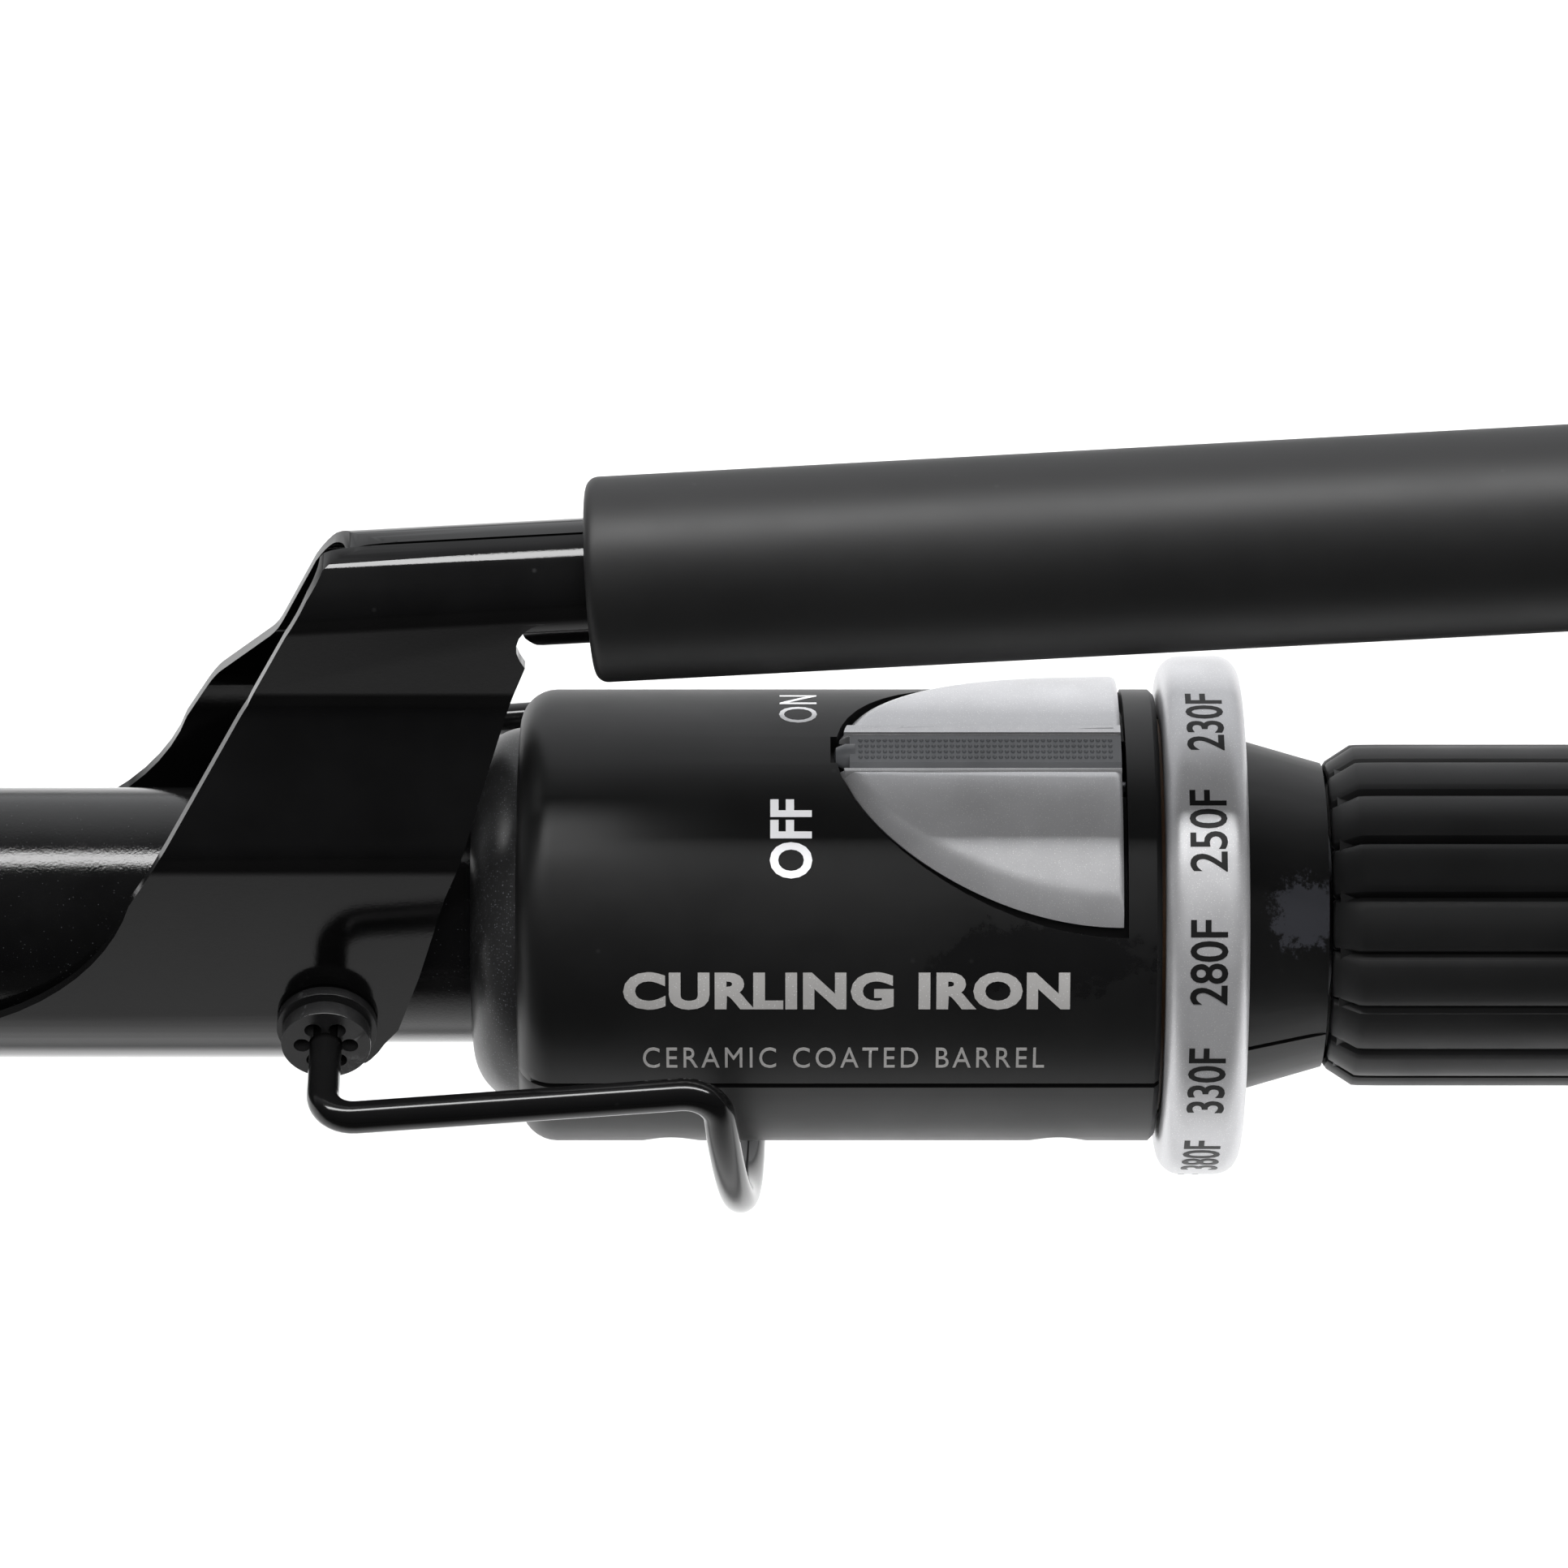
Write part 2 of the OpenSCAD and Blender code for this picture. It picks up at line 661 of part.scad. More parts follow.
module dial_ring() {
    x0 = dial_x0 + air;
    x1 = dial_x1 - air;
    color("#b4b6ba") difference() {
        turned([[x0, 0], [x0, dial_r - 1.6],
            each arc(x0 + 1.6, dial_r - 1.6, 1.6, 180, 90, 6),
            each arc(x1 - 1.6, dial_r - 1.6, 1.6, 90, 0, 6), [x1, 0]]);
        rod(x0 - 1, x1 - 2.2, dial_in);
        rod(x0 - 1, x1 + 1, hub_r + fit);
    }
}

module dial_wiper() {
    x1 = dial_x1 - air - 2.2 - seat;
    color("#c7a34a") rotate([120, 0, 0]) block([x1 - 1.2, -3, 11], [x1, 3, 14.5]);
}

module dial_track_board() {
    color("#3d2a1c") pipe(drum_x1 + seat, drum_x1 + 1.2, dial_in - 0.4, hub_r + seat);
}

// ---- spindle, leads and cord swivel --------------------------------------

spindle_x1 = grip_x1 + 1;

module swivel_spindle() {
    color("#9a9da2") difference() {
        union() {
            rod(drum_x1 - 0.9, spindle_x1, spindle_r);
            rod(dial_x1 - 2.3, dial_x1 - 0.1, spindle_r + 2);
        }
        rod(drum_x1 - 2, spindle_x1 + 1, lead_bore_r);
        pipe(grip_x1 - 3.3, grip_x1 - 2.3, spindle_r + 1, spindle_r - 0.8);
    }
}

module heater_leads() {
    color("#d8d2c0") for (s = [-1, 1])
        translate([heater_x1 + 0.3, s * 2.6, 0]) rotate([0, 90, 0])
            cylinder(h = drum_x0 + 9.5 - heater_x1, r = lead_r);
}

module supply_leads() {
    color("#262626") for (s = [-1, 1])
        translate([drum_x1 - 6, s * 1.6, 0]) rotate([0, 90, 0])
            cylinder(h = grip_x1 - 11 - drum_x1 + 5, r = lead_r);
}

module contact_carrier() {
    x0 = grip_x1 - 10;
    color("#e1ddd0") difference() {
        rod(x0, x0 + 6, lead_bore_r - seat);
        rod(x0 + 2, x0 + 7, 2.2);
    }
}

module spindle_washer() {
    color("#b9bdc2") pipe(grip_x1 - 4.1, grip_x1 - 3.3, spindle_r + 2.4, spindle_r + seat);
}

module spindle_clip() {
    color("#7f8388") difference() {
        pipe(grip_x1 - 3.2, grip_x1 - 2.4, spindle_r + 1.8, spindle_r - 0.75);
        block([grip_x1 - 4, -2, 0], [grip_x1, 2, spindle_r + 3]);
    }
}

module cord_gland() {
    x0 = grip_x1 - 2;
    x1 = grip_x1 + 9;
    color("#141417") difference() {
        union() {
            rod(x0 - 1.6, spindle_x1 + air + 1, lead_bore_r - fit);
            turned([[spindle_x1 + air, 0], [spindle_x1 + air, 7.2], [spindle_x1 + air + 1.5, 7.2],
                [x1 - 1, 5.9], [x1, 5.2], [x1, 0]]);
        }
        rod(x1 - cord_hole_len, x1 + 1, cord_r);
        rod(x0 - 2, x1, 2);
    }
}

module slip_contacts() {
    x0 = grip_x1 - 7.6;
    color("#c7a34a") union() {
        rod(x0, grip_x1 - 3, 1.2);
        rod(grip_x1 - 3 - e, grip_x1 + 0.6, 1.98);
    }
}

// ---- main grip -----------------------------------------------------------

core_r = grip_r - 3;

module grip_core() {
    color("#1c1d20") difference() {
        rod(grip_x0 + 0.3, grip_x1 - 4.4, core_r);
        rod(grip_x0 - 1, grip_x1, spindle_r + fit);
    }
}

module grip_rubber() {
    x0 = grip_x0;
    x1 = grip_x1 - 6;
    color("#17181a") intersection() {
        translate([x0, 0, 0]) rotate([90, 0, 90]) linear_extrude(x1 - x0) difference() {
            circle(r = grip_r);
            circle(r = core_r + seat);
            for (i = [0 : ribs - 1])
                rotate((i + 0.5) * 360 / ribs) translate([grip_r + 0.15, 0]) circle(r = 0.75, $fn = 24);
        }
        turned([[x0, 0], [x0, grip_r - 1.4], [x0 + 2.2, grip_r], [x1 - 2.2, grip_r],
            [x1, grip_r - 1.4], [x1, 0]]);
    }
}

module rear_cap() {
    x0 = grip_x1 - 6 + seat;
    color("#1c1d20") difference() {
        turned([[x0, 0], [x0, grip_r - 1.5], each arc(grip_x1 - 1, grip_r - 4.5, 3, 90, 0, 8),
            [grip_x1 + 2, 0]]);
        rod(x0 - 1, grip_x1 - 4.4, core_r + seat);
        rod(x0 - 1, grip_x1, spindle_r + 3);
        rod(x0 - 1, grip_x1 + 3, 7.2 + air);
    }
}

barrel_tube();
cool_tip();
heater_core();
heat_spreader_upper();
heat_spreader_lower();
insulating_sleeve();
temperature_sensor();
thermal_fuse();
hinge_bracket();
pivot_screws();
nose_collar();
upper_shell();
lower_shell();
shell_screws();
control_board();
switch_module();
indicator_lamp();
dial_track_board();
rocker_pin();
swivel_spindle();
heater_leads();
supply_leads();
contact_carrier();
spindle_washer();
spindle_clip();
clamp_spoon();
tang_plug();
tang_washer();
tang_screw();
clamp_sleeve();
sleeve_cap();
stand_wire();
rocker_cap();
rocker_lens();
dial_ring();
dial_wiper();
grip_core();
grip_rubber();
rear_cap();
cord_gland();
slip_contacts();
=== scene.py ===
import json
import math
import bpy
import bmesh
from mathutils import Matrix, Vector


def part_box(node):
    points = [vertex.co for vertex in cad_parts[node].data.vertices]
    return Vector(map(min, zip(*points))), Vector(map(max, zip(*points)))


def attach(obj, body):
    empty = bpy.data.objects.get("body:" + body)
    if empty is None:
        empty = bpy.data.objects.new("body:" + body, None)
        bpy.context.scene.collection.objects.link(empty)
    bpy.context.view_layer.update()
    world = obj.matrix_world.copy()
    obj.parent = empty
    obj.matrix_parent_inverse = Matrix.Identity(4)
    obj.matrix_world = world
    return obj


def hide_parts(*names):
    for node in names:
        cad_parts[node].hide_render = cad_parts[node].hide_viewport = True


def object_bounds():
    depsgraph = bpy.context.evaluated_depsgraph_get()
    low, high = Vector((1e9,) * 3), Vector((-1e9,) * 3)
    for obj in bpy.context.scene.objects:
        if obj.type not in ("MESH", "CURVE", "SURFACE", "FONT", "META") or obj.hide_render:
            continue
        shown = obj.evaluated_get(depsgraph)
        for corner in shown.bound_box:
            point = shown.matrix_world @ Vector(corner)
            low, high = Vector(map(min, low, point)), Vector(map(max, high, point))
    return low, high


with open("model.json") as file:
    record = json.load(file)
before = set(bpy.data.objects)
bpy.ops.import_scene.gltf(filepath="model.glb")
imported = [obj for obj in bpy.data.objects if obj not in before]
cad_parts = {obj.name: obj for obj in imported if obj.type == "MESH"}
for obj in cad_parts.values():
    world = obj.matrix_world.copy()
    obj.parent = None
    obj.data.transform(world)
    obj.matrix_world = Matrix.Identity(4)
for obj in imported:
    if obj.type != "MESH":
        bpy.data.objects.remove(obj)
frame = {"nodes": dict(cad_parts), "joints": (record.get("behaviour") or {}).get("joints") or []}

# %% [markdown]
# # A two-handled curling iron
# The CAD model holds the sizes and the joints. This script dresses it: every visible piece gets a
# smooth mesh with rounded edges, and every piece gets a procedural material. All lengths are in
# metres, in the CAD model's own frame: the iron's axis is X, the barrel points to -X, the clamp
# handle is above, and the origin is the middle of the main grip.

MM = 0.001
MIX_A, MIX_B, MIX_OUT = 6, 7, 2  # the colour sockets of a Mix node
cad_low, cad_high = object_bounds()
print("CAD box, mm:", [round(v / MM, 1) for v in (*cad_low, *cad_high)])

# %% [markdown]
# ## Measures taken from the frame
# A size is read from the box of the CAD node that has it, so the looks follow the design when a
# size in it changes. Joint positions and axes come from the frame's joints.

# %% Boxes and joints as short names
joints = {j["name"]: j for j in frame["joints"]}


def low(node, axis=0):
    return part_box(node)[0][axis]


def high(node, axis=0):
    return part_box(node)[1][axis]


pivot = Vector(joints["clamp_open"]["pos_m"])
tang_point = Vector(joints["clamp_handle_spin"]["pos_m"])
tang_tilt = math.asin(joints["clamp_handle_spin"]["axis"][2])
rocker_pivot = Vector(joints["rocker_tilt"]["pos_m"])
rocker_angle = math.radians(joints["rocker_tilt"]["range_deg"][1])

TIP_R = high("cool_tip", 2)
BARREL_R = TIP_R - 0.4 * MM
DRUM_R = high("upper_shell", 1)
DIAL_R = high("dial_ring", 1)
GRIP_R = -low("grip_rubber", 1)
SLEEVE_R = high("clamp_sleeve", 1)
print("radii, mm:", [round(r / MM, 2) for r in (BARREL_R, DRUM_R, DIAL_R, GRIP_R, SLEEVE_R)])

# %% [markdown]
# ## A small tool for nodes
# Floor, sky, finishes and Geometry Nodes are all node trees. This class adds a node and links it in
# one line, so that a tree reads like a formula.

# %% A small builder for node trees


class Tree:
    """Adds nodes to a node tree and links them; a socket that isn't linked gets a plain value."""

    def __init__(self, tree):
        self.tree = tree

    def add(self, kind, settings=None, **sockets):
        node = self.tree.nodes.new(kind)
        for key, value in (settings or {}).items():
            setattr(node, key, value)
        for key, value in sockets.items():
            self.feed(node.inputs[key.replace("_", " ")], value)
        return node

    def feed(self, socket, value):
        if isinstance(value, bpy.types.NodeSocket):
            self.tree.links.new(value, socket)
        elif value is not None:
            socket.default_value = value

    def math(self, operation, a, b=None, c=None, clamp=False):
        node = self.tree.nodes.new("ShaderNodeMath")
        node.operation = operation
        node.use_clamp = clamp
        for socket, value in zip(node.inputs, (a, b, c)):
            self.feed(socket, value)
        return node.outputs[0]

    def vector_math(self, operation, a, b=None):
        node = self.add("ShaderNodeVectorMath", {"operation": operation})
        for socket, value in zip(node.inputs, (a, b)):
            self.feed(socket, value)
        return node

    def ramp(self, value, start, end, to_low=0.0, to_high=1.0, kind="LINEAR"):
        node = self.add("ShaderNodeMapRange", {"interpolation_type": kind}, Value=value, From_Min=start,
                        From_Max=end, To_Min=to_low, To_Max=to_high)
        return node.outputs["Result"]

    def blend(self, factor, first, second):
        node = self.tree.nodes.new("ShaderNodeMix")
        node.data_type = "RGBA"
        self.feed(node.inputs["Factor"], factor)
        self.feed(node.inputs[MIX_A], first)
        self.feed(node.inputs[MIX_B], second)
        return node.outputs[MIX_OUT]

    def noise(self, vector, scale, detail=3.0, rough=0.55):
        node = self.add("ShaderNodeTexNoise", Vector=vector, Scale=scale, Detail=detail, Roughness=rough)
        return node.outputs["Fac"]

    def place(self):
        return self.add("ShaderNodeTexCoord").outputs["Object"]


# %% [markdown]
# ## Camera, floor and light
# The view is a long-lens product shot from 43 degrees above the side of the iron. Black glossy
# sheet metal has no colour of its own to show, so it is lit by what it mirrors: a white floor, one
# long overhead strip and a dark room on the camera's side. Floor and sky are pale where the camera
# sees them; only their reflections and light turn dark in front, as a Light Path node can tell.

# %% Camera
ELEVATION = math.radians(43)
DISTANCE = 0.5825
AIM_X = pivot.x + 33.7 * MM
AIM_UP = 9.77 * MM
VIEW_WIDTH = 117.2 * MM

forward = Vector((0, math.cos(ELEVATION), -math.sin(ELEVATION)))
up = Vector((0, math.sin(ELEVATION), math.cos(ELEVATION)))
camera_data = bpy.data.cameras.new("camera")
camera_data.sensor_width = 36
camera_data.lens = 36 * DISTANCE / VIEW_WIDTH
camera_data.clip_end = 20
camera = bpy.data.objects.new("camera", camera_data)
camera.location = Vector((AIM_X, 0, 0)) + up * AIM_UP - forward * DISTANCE
camera.rotation_mode = "QUATERNION"
camera.rotation_quaternion = forward.to_track_quat("-Z", "Y")
bpy.context.scene.collection.objects.link(camera)
bpy.context.scene.camera = camera
bpy.context.scene.view_settings.view_transform = "Standard"
print("lens, mm:", round(camera_data.lens, 1))

# %% Floor
FLOOR_DROP = 0.1
FLOOR_HALF = 3
PALE = (0.9, 0.9, 0.9, 1)
floor_z = cad_low.z - FLOOR_DROP
floor_mesh = bpy.data.meshes.new("floor")
floor_corners = [(x * FLOOR_HALF, y * FLOOR_HALF, floor_z) for x, y in ((-1, -1), (1, -1), (1, 1), (-1, 1))]
floor_mesh.from_pydata(floor_corners, [], [(0, 1, 2, 3)])
floor = bpy.data.objects.new("floor", floor_mesh)
bpy.context.scene.collection.objects.link(floor)
floor_material = bpy.data.materials.new("pale_floor")
floor_material.use_nodes = True
floor_bsdf = floor_material.node_tree.nodes["Principled BSDF"]
floor_bsdf.inputs["Roughness"].default_value = 0.8
floor_mesh.materials.append(floor_material)

# %% The floor's light falls off towards the front; the camera still sees it plain and pale
floor_tree = Tree(floor_material.node_tree)
floor_axes = floor_tree.add("ShaderNodeSeparateXYZ", Vector=floor_tree.place())
falloff = floor_tree.ramp(floor_axes.outputs["Y"], -0.25, 0.01, 0.02, 0.9, "SMOOTHSTEP")
seen = floor_tree.add("ShaderNodeLightPath").outputs["Is Camera Ray"]
floor_tree.feed(floor_bsdf.inputs["Base Color"], floor_tree.blend(seen, falloff, PALE))

# %% Lights: one long overhead strip, and a front fill that only lights matt surfaces


def area_light(name, place, aim, size, power):
    data = bpy.data.lights.new(name, "AREA")
    data.shape = "RECTANGLE"
    data.size, data.size_y = size
    data.energy = power
    light = bpy.data.objects.new(name, data)
    light.location = place
    light.rotation_mode = "QUATERNION"
    light.rotation_quaternion = (Vector(aim) - Vector(place)).to_track_quat("-Z", "Y")
    bpy.context.scene.collection.objects.link(light)
    return light


area_light("overhead_strip", (AIM_X, 0.1, 1.0), (AIM_X, 0.0, 0.0), (2.2, 0.2), 20)
front_fill = area_light("front_fill", (AIM_X, -0.56, 0.83), (AIM_X, 0.0, 0.0), (1.4, 0.5), 9)
front_fill.visible_glossy = False

# %% Sky: pale for the camera, dark in front and above for what the gloss mirrors
world = bpy.data.worlds.new("studio")
world.use_nodes = True
bpy.context.scene.world = world
world.node_tree.nodes.clear()
sky = Tree(world.node_tree)
split = sky.add("ShaderNodeSeparateXYZ", Vector=sky.add("ShaderNodeTexCoord").outputs["Generated"])
in_front = sky.ramp(split.outputs["Y"], 0.95, 0.1, kind="SMOOTHSTEP")
above = sky.ramp(split.outputs["Z"], -0.5, -0.2, kind="SMOOTHSTEP")
hidden = sky.math("SUBTRACT", 1.0, sky.add("ShaderNodeLightPath").outputs["Is Camera Ray"])
dark = sky.math("MULTIPLY", sky.math("MULTIPLY", in_front, above), hidden)
tint = sky.blend(dark, (0.92, 0.93, 0.95, 1), (0.02, 0.02, 0.022, 1))
background = sky.add("ShaderNodeBackground", Color=tint)
sky.feed(sky.add("ShaderNodeOutputWorld").inputs["Surface"], background.outputs[0])
print("sky and", len(bpy.data.lights), "lights ready")

# %% [markdown]
# ## Effects that several finishes share
# Grain, flecks, worn edges, dust and local patches are node groups: each is built once and placed
# in a material with its own numbers. A group gives out masks and heights only, and the Principled
# BSDF stays in the material, so an exporter can read it.

# %% An empty group
FLOAT, VECTOR = "NodeSocketFloat", "NodeSocketVector"


def new_group(name, numbers, vectors=(), outputs=("Mask",)):
    """A shader node group with a Vector input, more vectors and numbers with defaults, and float outputs.
    Returns the group, its Tree, and its inputs and outputs."""
    group = bpy.data.node_groups.new(name, "ShaderNodeTree")
    for title in ("Vector", *vectors):
        group.interface.new_socket(title, in_out="INPUT", socket_type=VECTOR)
    for title, value in numbers.items():
        group.interface.new_socket(title, in_out="INPUT", socket_type=FLOAT).default_value = value
    for title in outputs:
        group.interface.new_socket(title, in_out="OUTPUT", socket_type="NodeSocketFloat")
    tree = Tree(group)
    return group, tree, group.nodes.new("NodeGroupInput").outputs, group.nodes.new("NodeGroupOutput").inputs

# %% Grain: the fine pebble of a moulded, painted or coated surface
grain_group, t, g_in, g_out = new_group(
    "fine_grain", {"Scale": 3000.0, "Soften": 0.5}, outputs=("Height", "Cloud"))
fine = t.noise(g_in["Vector"], g_in["Scale"], 4.0)
coarse = t.noise(g_in["Vector"], t.math("MULTIPLY", g_in["Scale"], 0.13), 2.0)
COARSE_SHARE = 0.35
fine_part = t.math("MULTIPLY", fine, g_in["Soften"])
t.feed(g_out["Height"], t.math("ADD", fine_part, t.math("MULTIPLY", coarse, COARSE_SHARE)))
t.feed(g_out["Cloud"], t.noise(g_in["Vector"], t.math("MULTIPLY", g_in["Scale"], 0.02), 4.0, 0.6))
print("group", grain_group.name)

# %% Flecks: scattered bright grains, such as glitter in a coating or glass in a filled nylon
fleck_group, t, g_in, g_out = new_group("flecks", {"Scale": 2500.0, "Share": 0.1})
cells = t.add("ShaderNodeTexVoronoi", {"feature": "F1"}, Vector=g_in["Vector"], Scale=g_in["Scale"])
lot = t.add("ShaderNodeSeparateColor", Color=cells.outputs["Color"])
chosen = t.math("LESS_THAN", lot.outputs[0], g_in["Share"])
core = t.ramp(cells.outputs["Distance"], 0.38, 0.16)
t.feed(g_out["Mask"], t.math("MULTIPLY", t.math("MULTIPLY", chosen, core), lot.outputs[1]))

# %% Worn edges: where the surface turns sharply outwards, broken up by noise
wear_group, t, g_in, g_out = new_group("edge_wear", {"Scale": 900.0, "Amount": 0.5})
sharp = t.add("ShaderNodeNewGeometry").outputs["Pointiness"]
edge = t.ramp(sharp, 0.54, 0.62)
broken = t.ramp(t.noise(g_in["Vector"], g_in["Scale"], 5.0, 0.7), 0.45, 0.62)
t.feed(g_out["Mask"], t.math("MULTIPLY", t.math("MULTIPLY", edge, broken), g_in["Amount"], clamp=True))

# %% Dust: light specks and a faint film on what faces up
dust_group, t, g_in, g_out = new_group("dust", {"Scale": 700.0, "Amount": 0.1})
facing = t.add("ShaderNodeSeparateXYZ", Vector=t.add("ShaderNodeNewGeometry").outputs["Normal"])
upward = t.ramp(facing.outputs["Z"], 0.1, 0.9)
specks = t.add("ShaderNodeTexVoronoi", {"feature": "F1"}, Vector=g_in["Vector"], Scale=g_in["Scale"])
lot = t.add("ShaderNodeSeparateColor", Color=specks.outputs["Color"])
rare = t.math("LESS_THAN", lot.outputs[0], 0.05)
speck = t.math("MULTIPLY", rare, t.ramp(specks.outputs["Distance"], 0.16, 0.05))
film = t.math("MULTIPLY", t.noise(g_in["Vector"], t.math("MULTIPLY", g_in["Scale"], 0.08), 4.0), 0.35)
lying = t.math("MULTIPLY", upward, t.math("ADD", speck, film))
t.feed(g_out["Mask"], t.math("MULTIPLY", lying, g_in["Amount"], clamp=True))

# %% A patch: a blotch at one place on a piece, such as a rubbed spot
patch_group, t, g_in, g_out = new_group("patch", {"Scale": 500.0}, ("Centre", "Size"))
offset = t.vector_math("SUBTRACT", g_in["Vector"], g_in["Centre"])
scaled = t.vector_math("DIVIDE", offset.outputs[0], g_in["Size"])
reach = t.vector_math("LENGTH", scaled.outputs[0])
ragged = t.math("MULTIPLY", t.noise(g_in["Vector"], g_in["Scale"], 6.0, 0.75), 2.2)
spread = t.math("ADD", reach.outputs["Value"], ragged)
t.feed(g_out["Mask"], t.ramp(spread, 2.05, 1.85))

# %% [markdown]
# ## Finishes
# One function makes a painted, coated or moulded finish: a base colour that drifts a little, a
# grain in the normal, a roughness that is never quite even, worn edges and dust. Each real finish
# is then a short call, and the unusual ones add their own nodes to it.

# %% The common finish


def grey(value):
    return (value, value, value * 1.02, 1)


def use(tree, group, **sockets):
    return tree.add("ShaderNodeGroup", {"node_tree": group}, **sockets)


def finish_material(name, base, rough, drift=0.15, grain=(3000.0, 0.02), rough_drift=0.08, metallic=0.0,
                    wear=None, wear_color=None, dust=0.15, coat=0.0, flecks=None):
    """A material with one shared build-up.
    grain is (scale, bump distance in mm); flecks is (scale, share, colour)."""
    material = bpy.data.materials.new(name)
    material.use_nodes = True
    tree = Tree(material.node_tree)
    bsdf = material.node_tree.nodes["Principled BSDF"]
    where = tree.place()
    texture = use(tree, grain_group, Vector=where, Scale=grain[0])
    lighter = tuple(min(1, c * (1 + drift)) for c in base[:3]) + (1,)
    darker = tuple(c * (1 - drift) for c in base[:3]) + (1,)
    color = tree.blend(tree.ramp(texture.outputs["Cloud"], 0.35, 0.65), darker, lighter)
    roughness = tree.ramp(texture.outputs["Cloud"], 0.3, 0.7,
                          rough * (1 - rough_drift), rough * (1 + rough_drift))
    if flecks:
        mask = use(tree, fleck_group, Vector=where, Scale=flecks[0], Share=flecks[1]).outputs["Mask"]
        color = tree.blend(mask, color, flecks[2])
    if wear:
        mask = use(tree, wear_group, Vector=where, Amount=wear).outputs["Mask"]
        color = tree.blend(mask, color, wear_color or lighter)
    if dust:
        mask = use(tree, dust_group, Vector=where, Amount=dust).outputs["Mask"]
        color = tree.blend(mask, color, grey(0.45))
        roughness = tree.math("ADD", roughness, tree.math("MULTIPLY", mask, 0.4), clamp=True)
    bump = tree.add("ShaderNodeBump", Height=texture.outputs["Height"])
    bump.inputs["Strength"].default_value = 1.0
    bump.inputs["Distance"].default_value = grain[1] * MM
    tree.feed(bsdf.inputs["Base Color"], color)
    tree.feed(bsdf.inputs["Roughness"], roughness)
    bsdf.inputs["Metallic"].default_value = metallic
    tree.feed(bsdf.inputs["Normal"], bump.outputs["Normal"])
    bsdf.inputs["Coat Weight"].default_value = coat
    bsdf.inputs["Coat Roughness"].default_value = 0.04
    return material, tree, bsdf, color, roughness, where


def finish_of(name, *args, **options):
    return finish_material(name, *args, **options)[0]


# %% Black finishes of the hot end and the handles
barrel_coating = finish_of("glitter_black_coating", grey(0.003), 0.10, 0.4, (5200, 0.022), 0.2, dust=0.02,
                           flecks=(7000, 0.05, (0.05, 0.052, 0.055, 1)))
clamp_enamel = finish_of("black_enamel_sheet", grey(0.0025), 0.09, 0.3, (5200, 0.005), 0.1, dust=0.04)
stand_enamel = finish_of("black_enamel_wire", grey(0.0025), 0.13, 0.3, (1500, 0.002), 0.2, dust=0.03)
screw_black = finish_of("black_oxide_steel", grey(0.012), 0.24, 0.3, (2600, 0.006), 0.3, metallic=0.0,
                        wear=0.5, wear_color=grey(0.16), dust=0.05)
heat_plastic = finish_of("heat_proof_black", grey(0.012), 0.42, 0.2, (4200, 0.006), dust=0.1)
sleeve_plastic = finish_of("matte_handle_black", grey(0.007), 0.50, 0.08, (5200, 0.005), 0.06,
                           wear=0.3, wear_color=grey(0.05), dust=0.02)
collar_nylon = finish_of("speckled_nylon", grey(0.016), 0.34, 0.3, (3600, 0.02), 0.15, dust=0.03,
                         flecks=(7000, 0.45, (0.14, 0.145, 0.16, 1)))
rubber_black = finish_of("ribbed_rubber", grey(0.006), 0.50, 0.2, (4200, 0.008), 0.12, dust=0.05)
gland_plastic = finish_of("gland_black", grey(0.012), 0.45, 0.2, (4200, 0.01), dust=0.08)
print("black finishes ready")

# %% [markdown]
# The housing has a soft-touch coating that marks easily. A rubbed spot under the switch has gone
# glossy, and the neck carries pale scuffs, so this finish adds two local patches.

# %% Soft-touch coating with its marks


def on_round(x, radius, angle):
    """A point on a cylinder round the X axis; the angle is from -Y (the near side) up towards +Z."""
    return Vector((x, -radius * math.cos(angle), radius * math.sin(angle)))


soft_touch, tree, bsdf, color, roughness, where = finish_material(
    "soft_touch_black", grey(0.0045), 0.44, 0.12, (5200, 0.004), 0.08, dust=0.02)
rub_at = on_round(high("rocker_cap") - 6 * MM, DRUM_R, math.radians(33))
rub = use(tree, patch_group, Vector=where, Centre=rub_at, Size=(9 * MM, 2.4 * MM, 3 * MM), Scale=420.0)
scuff_at = on_round(high("dial_ring") + 4.5 * MM, 12 * MM, math.radians(44))
scuff_size = (2.9 * MM,) * 3
scuff = use(tree, patch_group, Vector=where, Centre=scuff_at, Size=scuff_size, Scale=1300.0)
tree.feed(bsdf.inputs["Base Color"], tree.blend(scuff.outputs["Mask"], color, (0.033, 0.034, 0.04, 1)))
rubbed = tree.math("SUBTRACT", roughness, tree.math("MULTIPLY", rub.outputs["Mask"], 0.24))
tree.feed(bsdf.inputs["Roughness"], rubbed)
print("rubbed spot at", [round(v / MM, 1) for v in rub_at])

# %% [markdown]
# The switch and the dial are plastic under a silver metallic lacquer: tiny aluminium flakes give it
# a sparkle, and it is softer than bare metal.

# %% Silver lacquer, prints and the light bar
silver_paint = finish_of("silver_lacquer", (0.70, 0.70, 0.715, 1), 0.40, 0.05, (9000, 0.012), 0.1,
                         metallic=0.72, dust=0.02, wear=0.25, wear_color=(0.85, 0.85, 0.85, 1),
                         flecks=(8500, 0.6, (1.0, 1.0, 1.0, 1)))
black_ink = finish_of("black_print", grey(0.006), 0.4, 0.2, (3000, 0.002), dust=0.0)
white_ink = finish_of("white_print", grey(0.9), 0.5, 0.06, (3000, 0.004), dust=0.0)
silver_ink = finish_of("silver_print", (0.50, 0.49, 0.48, 1), 0.45, 0.1, (3600, 0.006),
                       metallic=0.4, dust=0.0, flecks=(7000, 0.5, (0.8, 0.8, 0.8, 1)))
